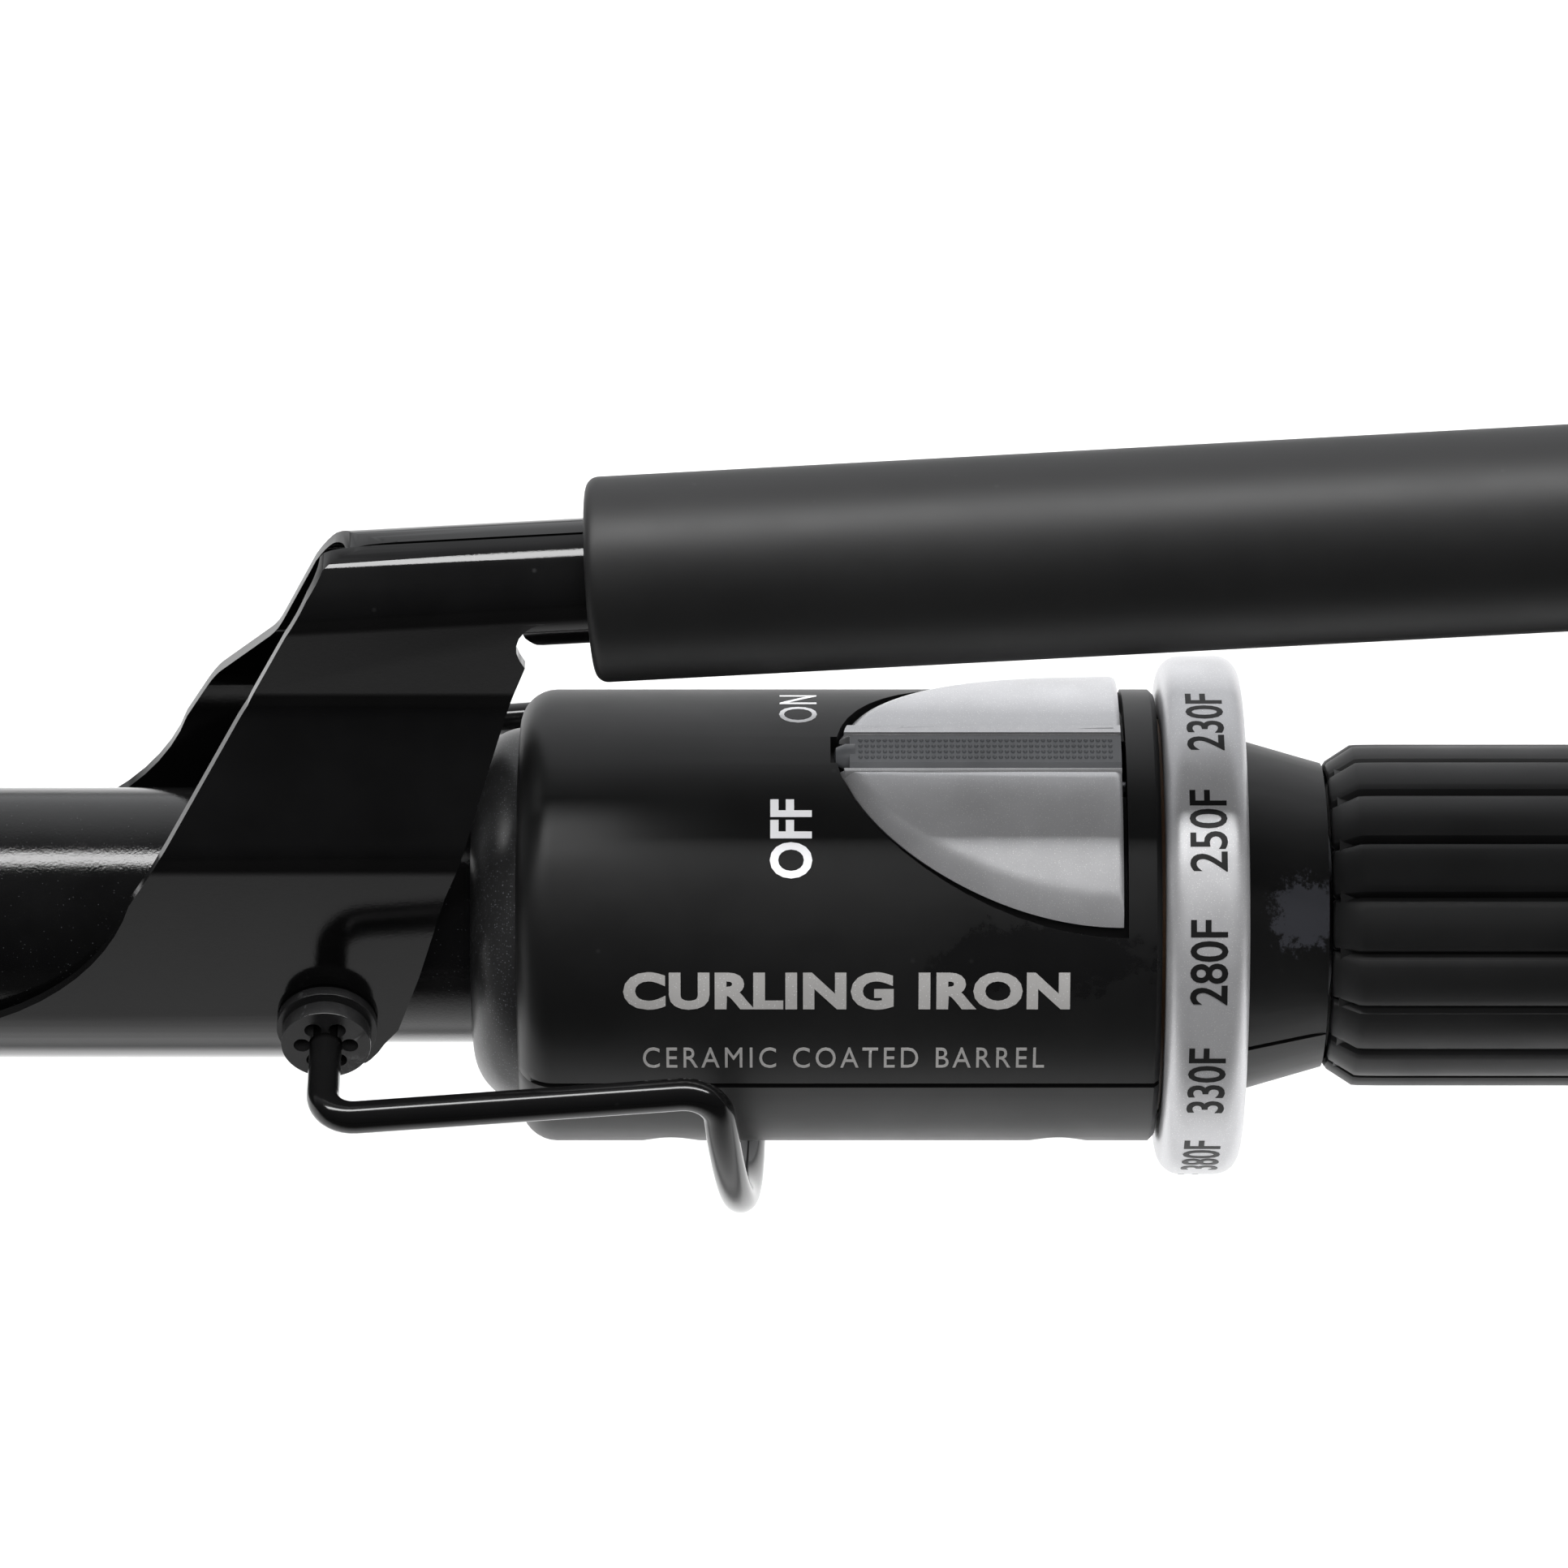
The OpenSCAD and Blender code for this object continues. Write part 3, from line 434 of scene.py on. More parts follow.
light_bar = finish_of("smoky_light_bar", (0.16, 0.165, 0.175, 1), 0.16, 0.2, (2600, 0.003), 0.2, dust=0.03)
light_bar.node_tree.nodes["Principled BSDF"].inputs["Transmission Weight"].default_value = 0.25

# %% [markdown]
# The pieces inside are steel, aluminium, brass, ceramic, glass braid and board. The same function
# makes them all, with each material's own colour, grain and roughness.

# %% Metals, ceramics and other materials of the inner pieces
bright_steel = finish_of("zinc_plated_steel", (0.56, 0.57, 0.60, 1), 0.30, 0.1, (2600, 0.004), 0.2,
                         metallic=1.0, wear=0.3, wear_color=(0.75, 0.75, 0.75, 1))
plain_steel = finish_of("plain_steel", (0.42, 0.43, 0.45, 1), 0.36, 0.15, (2200, 0.006), 0.25, metallic=1.0)
spreader_metal = finish_of("extruded_aluminium", (0.70, 0.71, 0.73, 1), 0.34, 0.08, (1800, 0.006), 0.2,
                           metallic=1.0)
brass = finish_of("contact_brass", (0.72, 0.52, 0.20, 1), 0.28, 0.12, (2400, 0.003), 0.2, metallic=1.0)
ceramic = finish_of("fired_ceramic", (0.78, 0.75, 0.68, 1), 0.55, 0.06, (3400, 0.01))
glass_sleeve = finish_of("varnished_glass_braid", (0.66, 0.58, 0.40, 1), 0.45, 0.2, (1400, 0.08))
board_green = finish_of("circuit_board", (0.02, 0.13, 0.06, 1), 0.30, 0.25, (1800, 0.01))
board_brown = finish_of("phenolic_board", (0.13, 0.07, 0.035, 1), 0.40, 0.2, (2200, 0.01))
module_black = finish_of("moulded_black", grey(0.02), 0.40, 0.2, (3800, 0.01))
sensor_amber = finish_of("amber_glass", (0.42, 0.20, 0.07, 1), 0.15, 0.2, (1500, 0.002))
lamp_red = finish_of("lamp_lens", (0.75, 0.25, 0.16, 1), 0.2, 0.1, (1500, 0.002))
lead_cream = finish_of("braided_lead", (0.62, 0.57, 0.45, 1), 0.6, 0.15, (2600, 0.03))
lead_black = finish_of("insulated_lead", grey(0.02), 0.4, 0.2, (2600, 0.01))

# %% [markdown]
# ## Mesh helpers
# Most pieces here are turned: a profile spun round the iron's axis. A few are bent wire or sheet.
# Each helper makes a plain mesh whose place is in its vertices, with its faces pointing outwards.

# %% Building, turning and softening


def new_object(name, verts, faces):
    mesh = bpy.data.meshes.new(name)
    mesh.from_pydata([tuple(v) for v in verts], [], faces)
    mesh.update()
    obj = bpy.data.objects.new(name, mesh)
    bpy.context.scene.collection.objects.link(obj)
    return obj


def outward(obj, merge=1e-6):
    """Merges doubles and turns the faces of a closed mesh outwards."""
    mesh = bmesh.new()
    mesh.from_mesh(obj.data)
    bmesh.ops.remove_doubles(mesh, verts=mesh.verts, dist=merge)
    bmesh.ops.recalc_face_normals(mesh, faces=mesh.faces)
    mesh.to_mesh(obj.data)
    mesh.free()
    return obj


def smooth(obj, angle=35):
    obj.data.polygons.foreach_set("use_smooth", [True] * len(obj.data.polygons))
    obj.data.set_sharp_from_angle(angle=math.radians(angle))
    return obj


def turned(name, profile, steps=160, closed=False, matrix=None):
    """Spins (x, radius) points round X. A closed profile makes a tube; an open one ends on the axis.
    A long straight run gets a ring close to each end, so that edge wear stays at the edge."""
    outline = []
    for (x0, r0), (x1, r1) in zip(profile, profile[1:] + [profile[0]] if closed else profile[1:]):
        run = math.dist((x0, r0), (x1, r1))
        near = 0.25 * MM / run if run > 1 * MM else 0
        outline.append((x0, r0))
        outline += [(x0 + (x1 - x0) * t, r0 + (r1 - r0) * t) for t in (near, 1 - near) if near]
    outline += [] if closed else [profile[-1]]
    verts, rings = [], []
    for x, radius in outline:
        if radius < 1e-9:
            rings.append([len(verts)])
            verts.append(Vector((x, 0, 0)))
        else:
            rings.append(list(range(len(verts), len(verts) + steps)))
            verts += [on_round(x, radius, math.tau * i / steps) for i in range(steps)]
    pairs = list(zip(rings, rings[1:])) + ([(rings[-1], rings[0])] if closed else [])
    faces = []
    for a, b in pairs:
        for i in range(steps):
            j = (i + 1) % steps
            if len(a) == 1:
                faces.append((a[0], b[i], b[j]))
            elif len(b) == 1:
                faces.append((a[i], b[0], a[j]))
            else:
                faces.append((a[i], b[i], b[j], a[j]))
    obj = new_object(name, [matrix @ v if matrix else v for v in verts], faces)
    return smooth(outward(obj))


def round_corner(x, radius, size, start, end, steps=7):
    """Profile points of a rounded corner about (x, radius); angles in degrees, 0 towards +X, 90 outwards."""
    angles = [math.radians(start + (end - start) * i / steps) for i in range(steps + 1)]
    return [(x + size * math.cos(a), radius + size * math.sin(a)) for a in angles]


def softened_copy(node, width, name=None, angle=32, segments=2):
    """A copy of a CAD node's mesh, merged, cleaned of flat triangles and given rounded edges."""
    copy = bpy.data.objects.new(name or node + "_finished", frame["nodes"][node].data.copy())
    bpy.context.scene.collection.objects.link(copy)
    copy.data.materials.clear()
    mesh = bmesh.new()
    mesh.from_mesh(copy.data)
    bmesh.ops.remove_doubles(mesh, verts=mesh.verts, dist=2e-6)
    bmesh.ops.dissolve_limit(mesh, angle_limit=math.radians(0.4), verts=mesh.verts, edges=mesh.edges)
    mesh.to_mesh(copy.data)
    mesh.free()
    if copy.data.has_custom_normals:
        bpy.context.view_layer.objects.active = copy
        bpy.ops.mesh.customdata_custom_splitnormals_clear()
    if width:
        bevel = copy.modifiers.new("rounded_edges", "BEVEL")
        bevel.width = width
        bevel.segments = segments
        bevel.limit_method = "ANGLE"
        bevel.angle_limit = math.radians(angle)
        bevel.use_clamp_overlap = True
        apply_modifiers(copy)
    smooth(copy, 38)
    weight = copy.modifiers.new("even_shading", "WEIGHTED_NORMAL")
    weight.keep_sharp = True
    weight.weight = 80
    return apply_modifiers(copy)


def apply_modifiers(obj):
    """Turns the evaluated result into the object's own plain mesh and drops the modifiers."""
    graph = bpy.context.evaluated_depsgraph_get()
    mesh = bpy.data.meshes.new_from_object(obj.evaluated_get(graph), preserve_all_data_layers=True,
                                           depsgraph=graph)
    obj.modifiers.clear()
    obj.data = mesh
    return obj


def fit(obj, material, body, slot, *nodes):
    """Gives a piece its finish and its body, and hides the CAD nodes that it stands for; slot is not used."""
    obj.data.materials.clear()
    obj.data.materials.append(material)
    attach(obj, body)
    if nodes:
        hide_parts(*nodes)
    print(f"{obj.name}: {len(obj.data.polygons)} faces on {body}")
    return obj


# %% [markdown]
# ## The hot end
# The barrel is a tube with a rolled front rim, closed by a plastic cool tip that a free hand can
# hold. Both are turned. The barrel's finish carries its fine glitter.

# %% Barrel and cool tip
barrel_x0, barrel_x1 = low("barrel_tube"), high("barrel_tube")
rim = 0.5 * MM
wall = 0.7 * MM
barrel = turned("barrel", [
    *round_corner(barrel_x0 + rim, BARREL_R - rim, rim, 180, 90),
    (barrel_x1, BARREL_R), (barrel_x1, BARREL_R - wall),
    (barrel_x0 + rim, BARREL_R - wall)], steps=256, closed=True)
fit(barrel, barrel_coating, "frame", "barrel_coating", "barrel_tube")

tip_x0 = low("cool_tip")
seam_x = barrel_x0 - 0.02 * MM
dome = seam_x - 5 * MM - tip_x0
groove_x = seam_x - 3.2 * MM
tip = turned("cool_tip_cover", [
    (tip_x0, 0),
    *[(seam_x - 5 * MM - dome * math.cos(a), TIP_R * math.sin(a)) for a in
      [math.radians(90 * i / 24) for i in range(1, 25)]],
    (groove_x - 0.5 * MM, TIP_R), (groove_x - 0.2 * MM, TIP_R - 0.35 * MM),
    (groove_x + 0.2 * MM, TIP_R - 0.35 * MM), (groove_x + 0.5 * MM, TIP_R),
    *round_corner(seam_x - 0.4 * MM, TIP_R - 0.4 * MM, 0.4 * MM, 90, 0),
    (seam_x, BARREL_R - wall - 0.02 * MM), (barrel_x0 + 5.4 * MM, BARREL_R - wall - 0.02 * MM),
    (barrel_x0 + 5.4 * MM, 0)])
fit(tip, heat_plastic, "frame", "heat_plastic", "cool_tip")

# %% [markdown]
# Between the hot barrel and the housing sits a speckled nylon collar that keeps the heat off the
# drum. Its dome is a quarter of an ellipse, turned like the rest.

# %% Nose collar: a domed nylon ring between the barrel and the housing
collar_x0, drum_x0 = low("nose_collar"), low("upper_shell")
collar_r = DRUM_R - 2.85 * MM
dome_x = drum_x0 + 0.4 * MM
dome_r0 = BARREL_R + 0.3 * MM
collar = turned("nose_collar_dome", [
    (collar_x0, BARREL_R + 0.02 * MM), (collar_x0, dome_r0 - 0.1 * MM),
    *[(collar_x0 + (dome_x - collar_x0) * (1 - math.cos(a)), dome_r0 + (collar_r - dome_r0) * math.sin(a))
      for a in [math.radians(90 * i / 20) for i in range(21)]],
    (drum_x0 + 2.2 * MM, collar_r), (drum_x0 + 2.2 * MM, collar_r + 0.5 * MM),
    (drum_x0 + 4.4 * MM, collar_r + 0.5 * MM), (drum_x0 + 4.4 * MM, BARREL_R + 0.02 * MM)],
    steps=192, closed=True)
fit(collar, collar_nylon, "frame", "collar_nylon", "nose_collar")

# %% [markdown]
# ## Clamp, screws and stand
# The clamp is one folded sheet, so its shape comes from the CAD solid, and what it needs is the
# small radius that every cut and painted sheet edge has. The stand is bent wire: a path with
# rounded bends, swept by a circle.

# %% Clamp sheet and pivot screws
clamp = softened_copy("clamp_spoon", 0.26 * MM, "clamp_sheet", segments=4)
fit(clamp, clamp_enamel, "clamp", "clamp_enamel", "clamp_spoon")
screws = softened_copy("pivot_screws", 0.10 * MM, "pivot_screw_heads")
fit(screws, screw_black, "frame", "screw_black", "pivot_screws")

# %% [markdown]
# A bent wire keeps its thickness through every bend. The path is rounded first and then a circle is
# carried along it, turned from each station to the next by the smallest turn.

# %% A wire along a path with rounded bends


def rounded_path(corners, radius, steps=10):
    """Points along a path of straight runs whose corners are rounded to a radius."""
    points = [corners[0]]
    for before, corner, after in zip(corners, corners[1:], corners[2:]):
        a, b = (before - corner).normalized(), (after - corner).normalized()
        half = a.angle(b) / 2
        reach = radius / math.tan(half)
        centre = corner + (a + b).normalized() * (radius / math.sin(half))
        start, end = (corner + a * reach - centre).normalized(), (corner + b * reach - centre).normalized()
        for i in range(steps + 1):
            points.append(centre + start.slerp(end, i / steps) * radius)
    return points + [corners[-1]]


def swept(name, path, radius, sides=24, ends=0.3):
    """A round wire along a path, with slightly rounded ends.
    Each ring follows the one before it, so the wire can't twist."""
    verts, faces = [], []
    heading = (path[1] - path[0]).normalized()
    side = heading.orthogonal().normalized()
    size = [radius * (1 - ends)] + [radius] * len(path) + [radius * (1 - ends)]
    inset = radius * ends
    stations = [path[0], path[0] + heading * inset, *path[1:-1],
                path[-1] - (path[-1] - path[-2]).normalized() * inset, path[-1]]
    for i, point in enumerate(stations):
        ahead = stations[min(i + 1, len(stations) - 1)] - stations[max(i - 1, 0)]
        turn = heading.rotation_difference(ahead)
        side = (turn @ side).normalized()
        heading = ahead.normalized()
        other = heading.cross(side)
        for k in range(sides):
            a = math.tau * k / sides
            verts.append(point + (side * math.cos(a) + other * math.sin(a)) * size[min(i, len(size) - 1)])
    for i in range(len(stations) - 1):
        for k in range(sides):
            j = (k + 1) % sides
            faces.append((i * sides + k, i * sides + j, (i + 1) * sides + j, (i + 1) * sides + k))
    faces.append(tuple(range(sides)))
    faces.append(tuple(range((len(stations) - 1) * sides, len(stations) * sides)))
    return smooth(outward(new_object(name, verts, faces)), 50)


# %% The stand's own path: in at one screw, along a leg, round the hoop, and back
WIRE_R = 1.2 * MM
STAND_Y = high("stand_wire", 1) - WIRE_R
WIRE_IN = BARREL_R - WIRE_R
WIRE_BEND = 2.6 * MM
stand_tilt = math.radians(5.7)
leg = 28.9 * MM


def stand_half(side):
    """Corners from the screw to the start of the hoop, in the stand's own frame."""
    return [Vector((0, side * WIRE_IN, 0)), Vector((0, side * STAND_Y, 0)), Vector((leg, side * STAND_Y, 0)),
            Vector((leg, side * STAND_Y, -2 * WIRE_BEND))]


near_run = rounded_path(stand_half(-1), WIRE_BEND)[:-1]
far_run = rounded_path(stand_half(1), WIRE_BEND)[:-1]
hoop = [Vector((leg, -STAND_Y * math.cos(a), -WIRE_BEND - STAND_Y * math.sin(a)))
        for a in [math.pi * i / 64 for i in range(1, 64)]]
place_stand = Matrix.Translation(pivot) @ Matrix.Rotation(-stand_tilt, 4, "Y")
stand = swept("stand_hoop", [place_stand @ p for p in near_run + hoop + far_run[::-1]], WIRE_R)
fit(stand, stand_enamel, "stand", "stand_enamel", "stand_wire")

# %% [markdown]
# ## The clamp's handle
# A plain matte tube that turns on the tang. It is turned in the tang's own frame, which tilts up
# towards the rear, and then placed.

# %% Sleeve and end cap
on_tang = Matrix.Translation(tang_point) @ Matrix.Rotation(-tang_tilt, 4, "Y")
to_tang = on_tang.inverted()


def tang_range(node):
    """Where a node starts and ends along the tang's axis."""
    along = [(to_tang @ v.co).x for v in frame["nodes"][node].data.vertices]
    return min(along), max(along)


sleeve_x0, sleeve_x1 = tang_range("clamp_sleeve")
tang_r = 4.5 * MM
lip = 0.9 * MM
sleeve = turned("handle_sleeve", [
    (sleeve_x0 + 0.4 * MM, tang_r + 0.05 * MM),
    (sleeve_x0, tang_r + 0.5 * MM), *round_corner(sleeve_x0 + lip, SLEEVE_R - lip, lip, 180, 90),
    (sleeve_x1 - 0.15 * MM, SLEEVE_R), (sleeve_x1, SLEEVE_R - 0.15 * MM),
    (sleeve_x1, tang_r + 2 * MM), (sleeve_x1 - 5 * MM, tang_r + 2 * MM),
    (sleeve_x1 - 5 * MM, tang_r + 0.05 * MM)], steps=192, closed=True, matrix=on_tang)
fit(sleeve, sleeve_plastic, "clamp_handle", "sleeve_plastic", "clamp_sleeve")

cap_x0, cap_x1 = tang_range("sleeve_cap")
cap_seam = sleeve_x1 + 0.02 * MM
cap = turned("handle_end_cap", [
    (cap_x0, 0), (cap_x0, tang_r + 1.9 * MM), (cap_seam, tang_r + 1.9 * MM),
    (cap_seam, SLEEVE_R - 0.2 * MM), (cap_seam + 0.2 * MM, SLEEVE_R),
    *round_corner(cap_x1 - 2 * MM, SLEEVE_R - 2 * MM, 2 * MM, 90, 0),
    (cap_x1, SLEEVE_R - 3 * MM), (cap_x1 - 0.3 * MM, SLEEVE_R - 3.4 * MM), (cap_x1 - 0.3 * MM, 0)],
    steps=160, matrix=on_tang)
fit(cap, sleeve_plastic, "clamp_handle", "sleeve_plastic", "sleeve_cap")

# %% [markdown]
# ## The housing
# Two soft-touch shells meet at a seam below the middle. Their pocket for the switch, their screw
# holes and the neck are cut in the CAD solids, so these two pieces also keep that shape and get
# rounded edges.

# %% Upper and lower shells
upper = softened_copy("upper_shell", 0.15 * MM, "housing_upper")
fit(upper, soft_touch, "frame", "soft_touch", "upper_shell")
lower = softened_copy("lower_shell", 0.15 * MM, "housing_lower")
fit(lower, soft_touch, "frame", "soft_touch", "lower_shell")

# %% [markdown]
# ## The rocker switch
# Two silver wings follow the drum and meet at a light bar. In plan they are half an ellipse with a
# flat rear edge. Each wing is a grid bent round the drum; its rim rolls in towards the pocket. The
# far wing is turned up by the switch's travel, since the switch is off.

# %% Wings
switch_x1 = high("rocker_cap")
switch_len = high("rocker_cap") - low("rocker_lens") - 0.35 * MM
WING_R = DRUM_R + 0.15 * MM
WING_T = 1.05 * MM
WING_HALF = DRUM_R * math.sin(math.radians(50))
BAR_HALF = 1.9 * MM
about_pivot = Matrix.Translation(rocker_pivot)
far_turn = about_pivot @ Matrix.Rotation(rocker_angle, 4, "X") @ about_pivot.inverted()
half_turn = about_pivot @ Matrix.Rotation(rocker_angle / 2, 4, "X") @ about_pivot.inverted()


def wing(name, side, matrix):
    """One wing: rows run from the pointed front to the flat rear, columns from the bar to the rim."""
    rows, columns = 56, 32
    verts, faces = [], []
    for layer in (0, 1):
        for i in range(rows + 1):
            along = math.sin(math.pi / 2 * i / rows)
            x = switch_x1 - switch_len * (1 - along)
            rim_y = max(WING_HALF * math.sqrt(max(0, 1 - (1 - along) ** 2)), BAR_HALF + 0.05 * MM)
            for k in range(columns + 1):
                across = 1 - (1 - k / columns) ** 1.6
                y = BAR_HALF + (rim_y - BAR_HALF) * across
                drop = max(
                    0.75 * MM * max(0, 1 - (rim_y - y) / (1.8 * MM)) ** 1.2,
                    0.35 * MM * max(0, 1 - (switch_x1 - x) / (0.5 * MM)) ** 2,
                    0.35 * MM * max(0, 1 - (y - BAR_HALF) / (0.6 * MM)) ** 2)
                radius = WING_R - (WING_T if layer else drop)
                angle = math.asin(min(1, y / WING_R))
                verts.append(matrix @ Vector((x, side * radius * math.sin(angle), radius * math.cos(angle))))
    width, count = columns + 1, (rows + 1) * (columns + 1)
    for i in range(rows):
        for k in range(columns):
            a = i * width + k
            faces.append((a, a + 1, a + width + 1, a + width))
            faces.append((count + a, count + a + width, count + a + width + 1, count + a + 1))
    border = [i * width for i in range(rows + 1)] + [rows * width + k for k in range(1, width)] + \
        [i * width + columns for i in range(rows - 1, -1, -1)] + [k for k in range(columns - 1, 0, -1)]
    for a, b in zip(border, border[1:] + border[:1]):
        faces.append((a, b, count + b, count + a))
    return smooth(outward(new_object(name, verts, faces)), 40)


near_wing = wing("switch_wing_off", -1, Matrix.Identity(4))
fit(near_wing, silver_paint, "rocker", "silver_paint")
far_wing = wing("switch_wing_on", 1, far_turn)
fit(far_wing, silver_paint, "rocker", "silver_paint")
core = softened_copy("rocker_cap", 0.0, "switch_core")


def keep_middle(obj, half):
    """Cuts away what lies beyond a distance on either side of the middle plane, and closes the cuts."""
    mesh = bmesh.new()
    mesh.from_mesh(obj.data)
    for side in (-1, 1):
        cut = bmesh.ops.bisect_plane(mesh, geom=mesh.verts[:] + mesh.edges[:] + mesh.faces[:],
                                     plane_co=(0, side * half, 0), plane_no=(0, side, 0), clear_outer=True)
        edges = [g for g in cut["geom_cut"] if isinstance(g, bmesh.types.BMEdge)]
        bmesh.ops.contextual_create(mesh, geom=edges)
    mesh.to_mesh(obj.data)
    mesh.free()
    return obj


keep_middle(core, 2.4 * MM)
fit(core, silver_paint, "rocker", "silver_paint", "rocker_cap")

# %% [markdown]
# The light bar is a smoky strip with rows of small beads that scatter the lamp. One bead is
# repeated over a grid with Geometry Nodes.

# %% Light bar
bar_x0, bar_x1 = low("rocker_lens") + 1.1 * MM, high("rocker_lens")
bar_top = WING_R + 0.1 * MM
bar_verts = []
bar_w = 1.66 * MM
for x in (bar_x0, bar_x1):
    for y, z in ((-bar_w, bar_top - 1.4 * MM), (bar_w, bar_top - 1.4 * MM), (bar_w, bar_top - 0.25 * MM),
                 (bar_w - 0.3 * MM, bar_top), (-bar_w + 0.3 * MM, bar_top), (-bar_w, bar_top - 0.25 * MM)):
        bar_verts.append(half_turn @ Vector((x, y, z)))
bar_faces = [(i, (i + 1) % 6, (i + 1) % 6 + 6, i + 6) for i in range(6)]
bar_faces += [tuple(range(6)), tuple(range(6, 12))]
bar = smooth(outward(new_object("light_bar_strip", bar_verts, bar_faces)))
fit(bar, light_bar, "rocker", "light_bar", "rocker_lens")

nub_place = half_turn @ Matrix.Translation((0, 0, bar_top - 0.85 * MM))
nub = turned("light_bar_nub", [
    (bar_x0 - 1.2 * MM, 0), (bar_x0 - 1.0 * MM, 0.7 * MM), (bar_x0 - 0.3 * MM, 1.0 * MM),
    (bar_x0 + 0.4 * MM, 1.0 * MM), (bar_x0 + 0.4 * MM, 0)], steps=32, matrix=nub_place)
fit(nub, light_bar, "rocker", "light_bar")

# %% [markdown]
# Geometry Nodes suit anything that repeats: the tree says once how copies are placed, and its named
# inputs hold the sizes. The result is made real and kept as a plain mesh.

# %% Geometry Nodes tools


def modifier_tree(name, sockets):
    """An empty Geometry Nodes tree with a geometry in and out and the named inputs."""
    tree = bpy.data.node_groups.new(name, "GeometryNodeTree")
    tree.interface.new_socket("Geometry", in_out="INPUT", socket_type="NodeSocketGeometry")
    for title, kind in sockets:
        tree.interface.new_socket(title, in_out="INPUT", socket_type=kind)
    tree.interface.new_socket("Geometry", in_out="OUTPUT", socket_type="NodeSocketGeometry")
    return tree, tree.nodes.new("NodeGroupInput").outputs, tree.nodes.new("NodeGroupOutput").inputs


def close_tree(tree, copies, finish, result):
    """Ends a tree: copies made real, then given their finish."""
    real = tree.nodes.new("GeometryNodeRealizeInstances")
    tree.links.new(copies.outputs[0], real.inputs[0])
    paint = tree.nodes.new("GeometryNodeSetMaterial")
    tree.links.new(real.outputs[0], paint.inputs["Geometry"])
    tree.links.new(finish, paint.inputs["Material"])
    tree.links.new(paint.outputs[0], result)


def run_tree(obj, tree, values):
    """Puts the tree on an object with its values, and keeps only the plain mesh that it makes."""
    modifier = obj.modifiers.new(tree.name, "NODES")
    modifier.node_group = tree
    sockets = {s.name: s.identifier for s in tree.interface.items_tree if s.in_out == "INPUT"}
    for title, value in values.items():
        modifier[sockets[title]] = value
    return apply_modifiers(obj)


# %% Beads on the light bar
bead_tree, b_in, b_out = modifier_tree("bead_grid", [
    ("Length", FLOAT), ("Width", FLOAT), ("Columns", "NodeSocketInt"), ("Rows", "NodeSocketInt"),
    ("Bead", FLOAT), ("Finish", "NodeSocketMaterial")])
build = Tree(bead_tree)
grid = build.add("GeometryNodeMeshGrid", Size_X=b_in["Length"], Size_Y=b_in["Width"],
                 Vertices_X=b_in["Columns"], Vertices_Y=b_in["Rows"])
ball = build.add("GeometryNodeMeshUVSphere", Segments=8, Rings=5, Radius=b_in["Bead"])
scatter = build.add("GeometryNodeInstanceOnPoints", Points=grid.outputs["Mesh"],
                    Instance=ball.outputs["Mesh"])
close_tree(bead_tree, scatter, b_in["Finish"], b_out["Geometry"])

beads = new_object("light_bar_beads", [(0, 0, 0)], [])
run_tree(beads, bead_tree, {
    "Length": bar_x1 - bar_x0 - 1.6 * MM, "Width": 1.7 * MM, "Columns": 42, "Rows": 4,
    "Bead": 0.17 * MM, "Finish": light_bar})
beads.data.transform(half_turn @ Matrix.Translation(((bar_x0 + bar_x1) / 2, 0, bar_top)))
smooth(beads, 180)
fit(beads, light_bar, "rocker", "light_bar")

# %% [markdown]
# ## The temperature dial
# A turned ring with generously rounded edges. The numbers are a pad print, raised by a few
# hundredths of a millimetre, so each is a text made into a mesh and wrapped round the ring.

# %% Ring
dial_x0, dial_x1 = low("dial_ring"), high("dial_ring")
edge = 1.7 * MM
ring = turned("dial_band", [
    (dial_x0, 15 * MM), *round_corner(dial_x0 + edge, DIAL_R - edge, edge, 180, 90, 10),
    *round_corner(dial_x1 - edge, DIAL_R - edge, edge, 90, 0, 10),
    (dial_x1, 10.05 * MM), (dial_x1 - 2.2 * MM, 10.05 * MM), (dial_x1 - 2.2 * MM, 15 * MM)],
    steps=256, closed=True)
fit(ring, silver_paint, "dial", "silver_paint", "dial_ring")

# %% Lettering wrapped round a cylinder
PRINT_THICKNESS = 0.05 * MM
LONG_EDGE = 0.12  # as a share of the letter size; longer edges are split so that they can bend


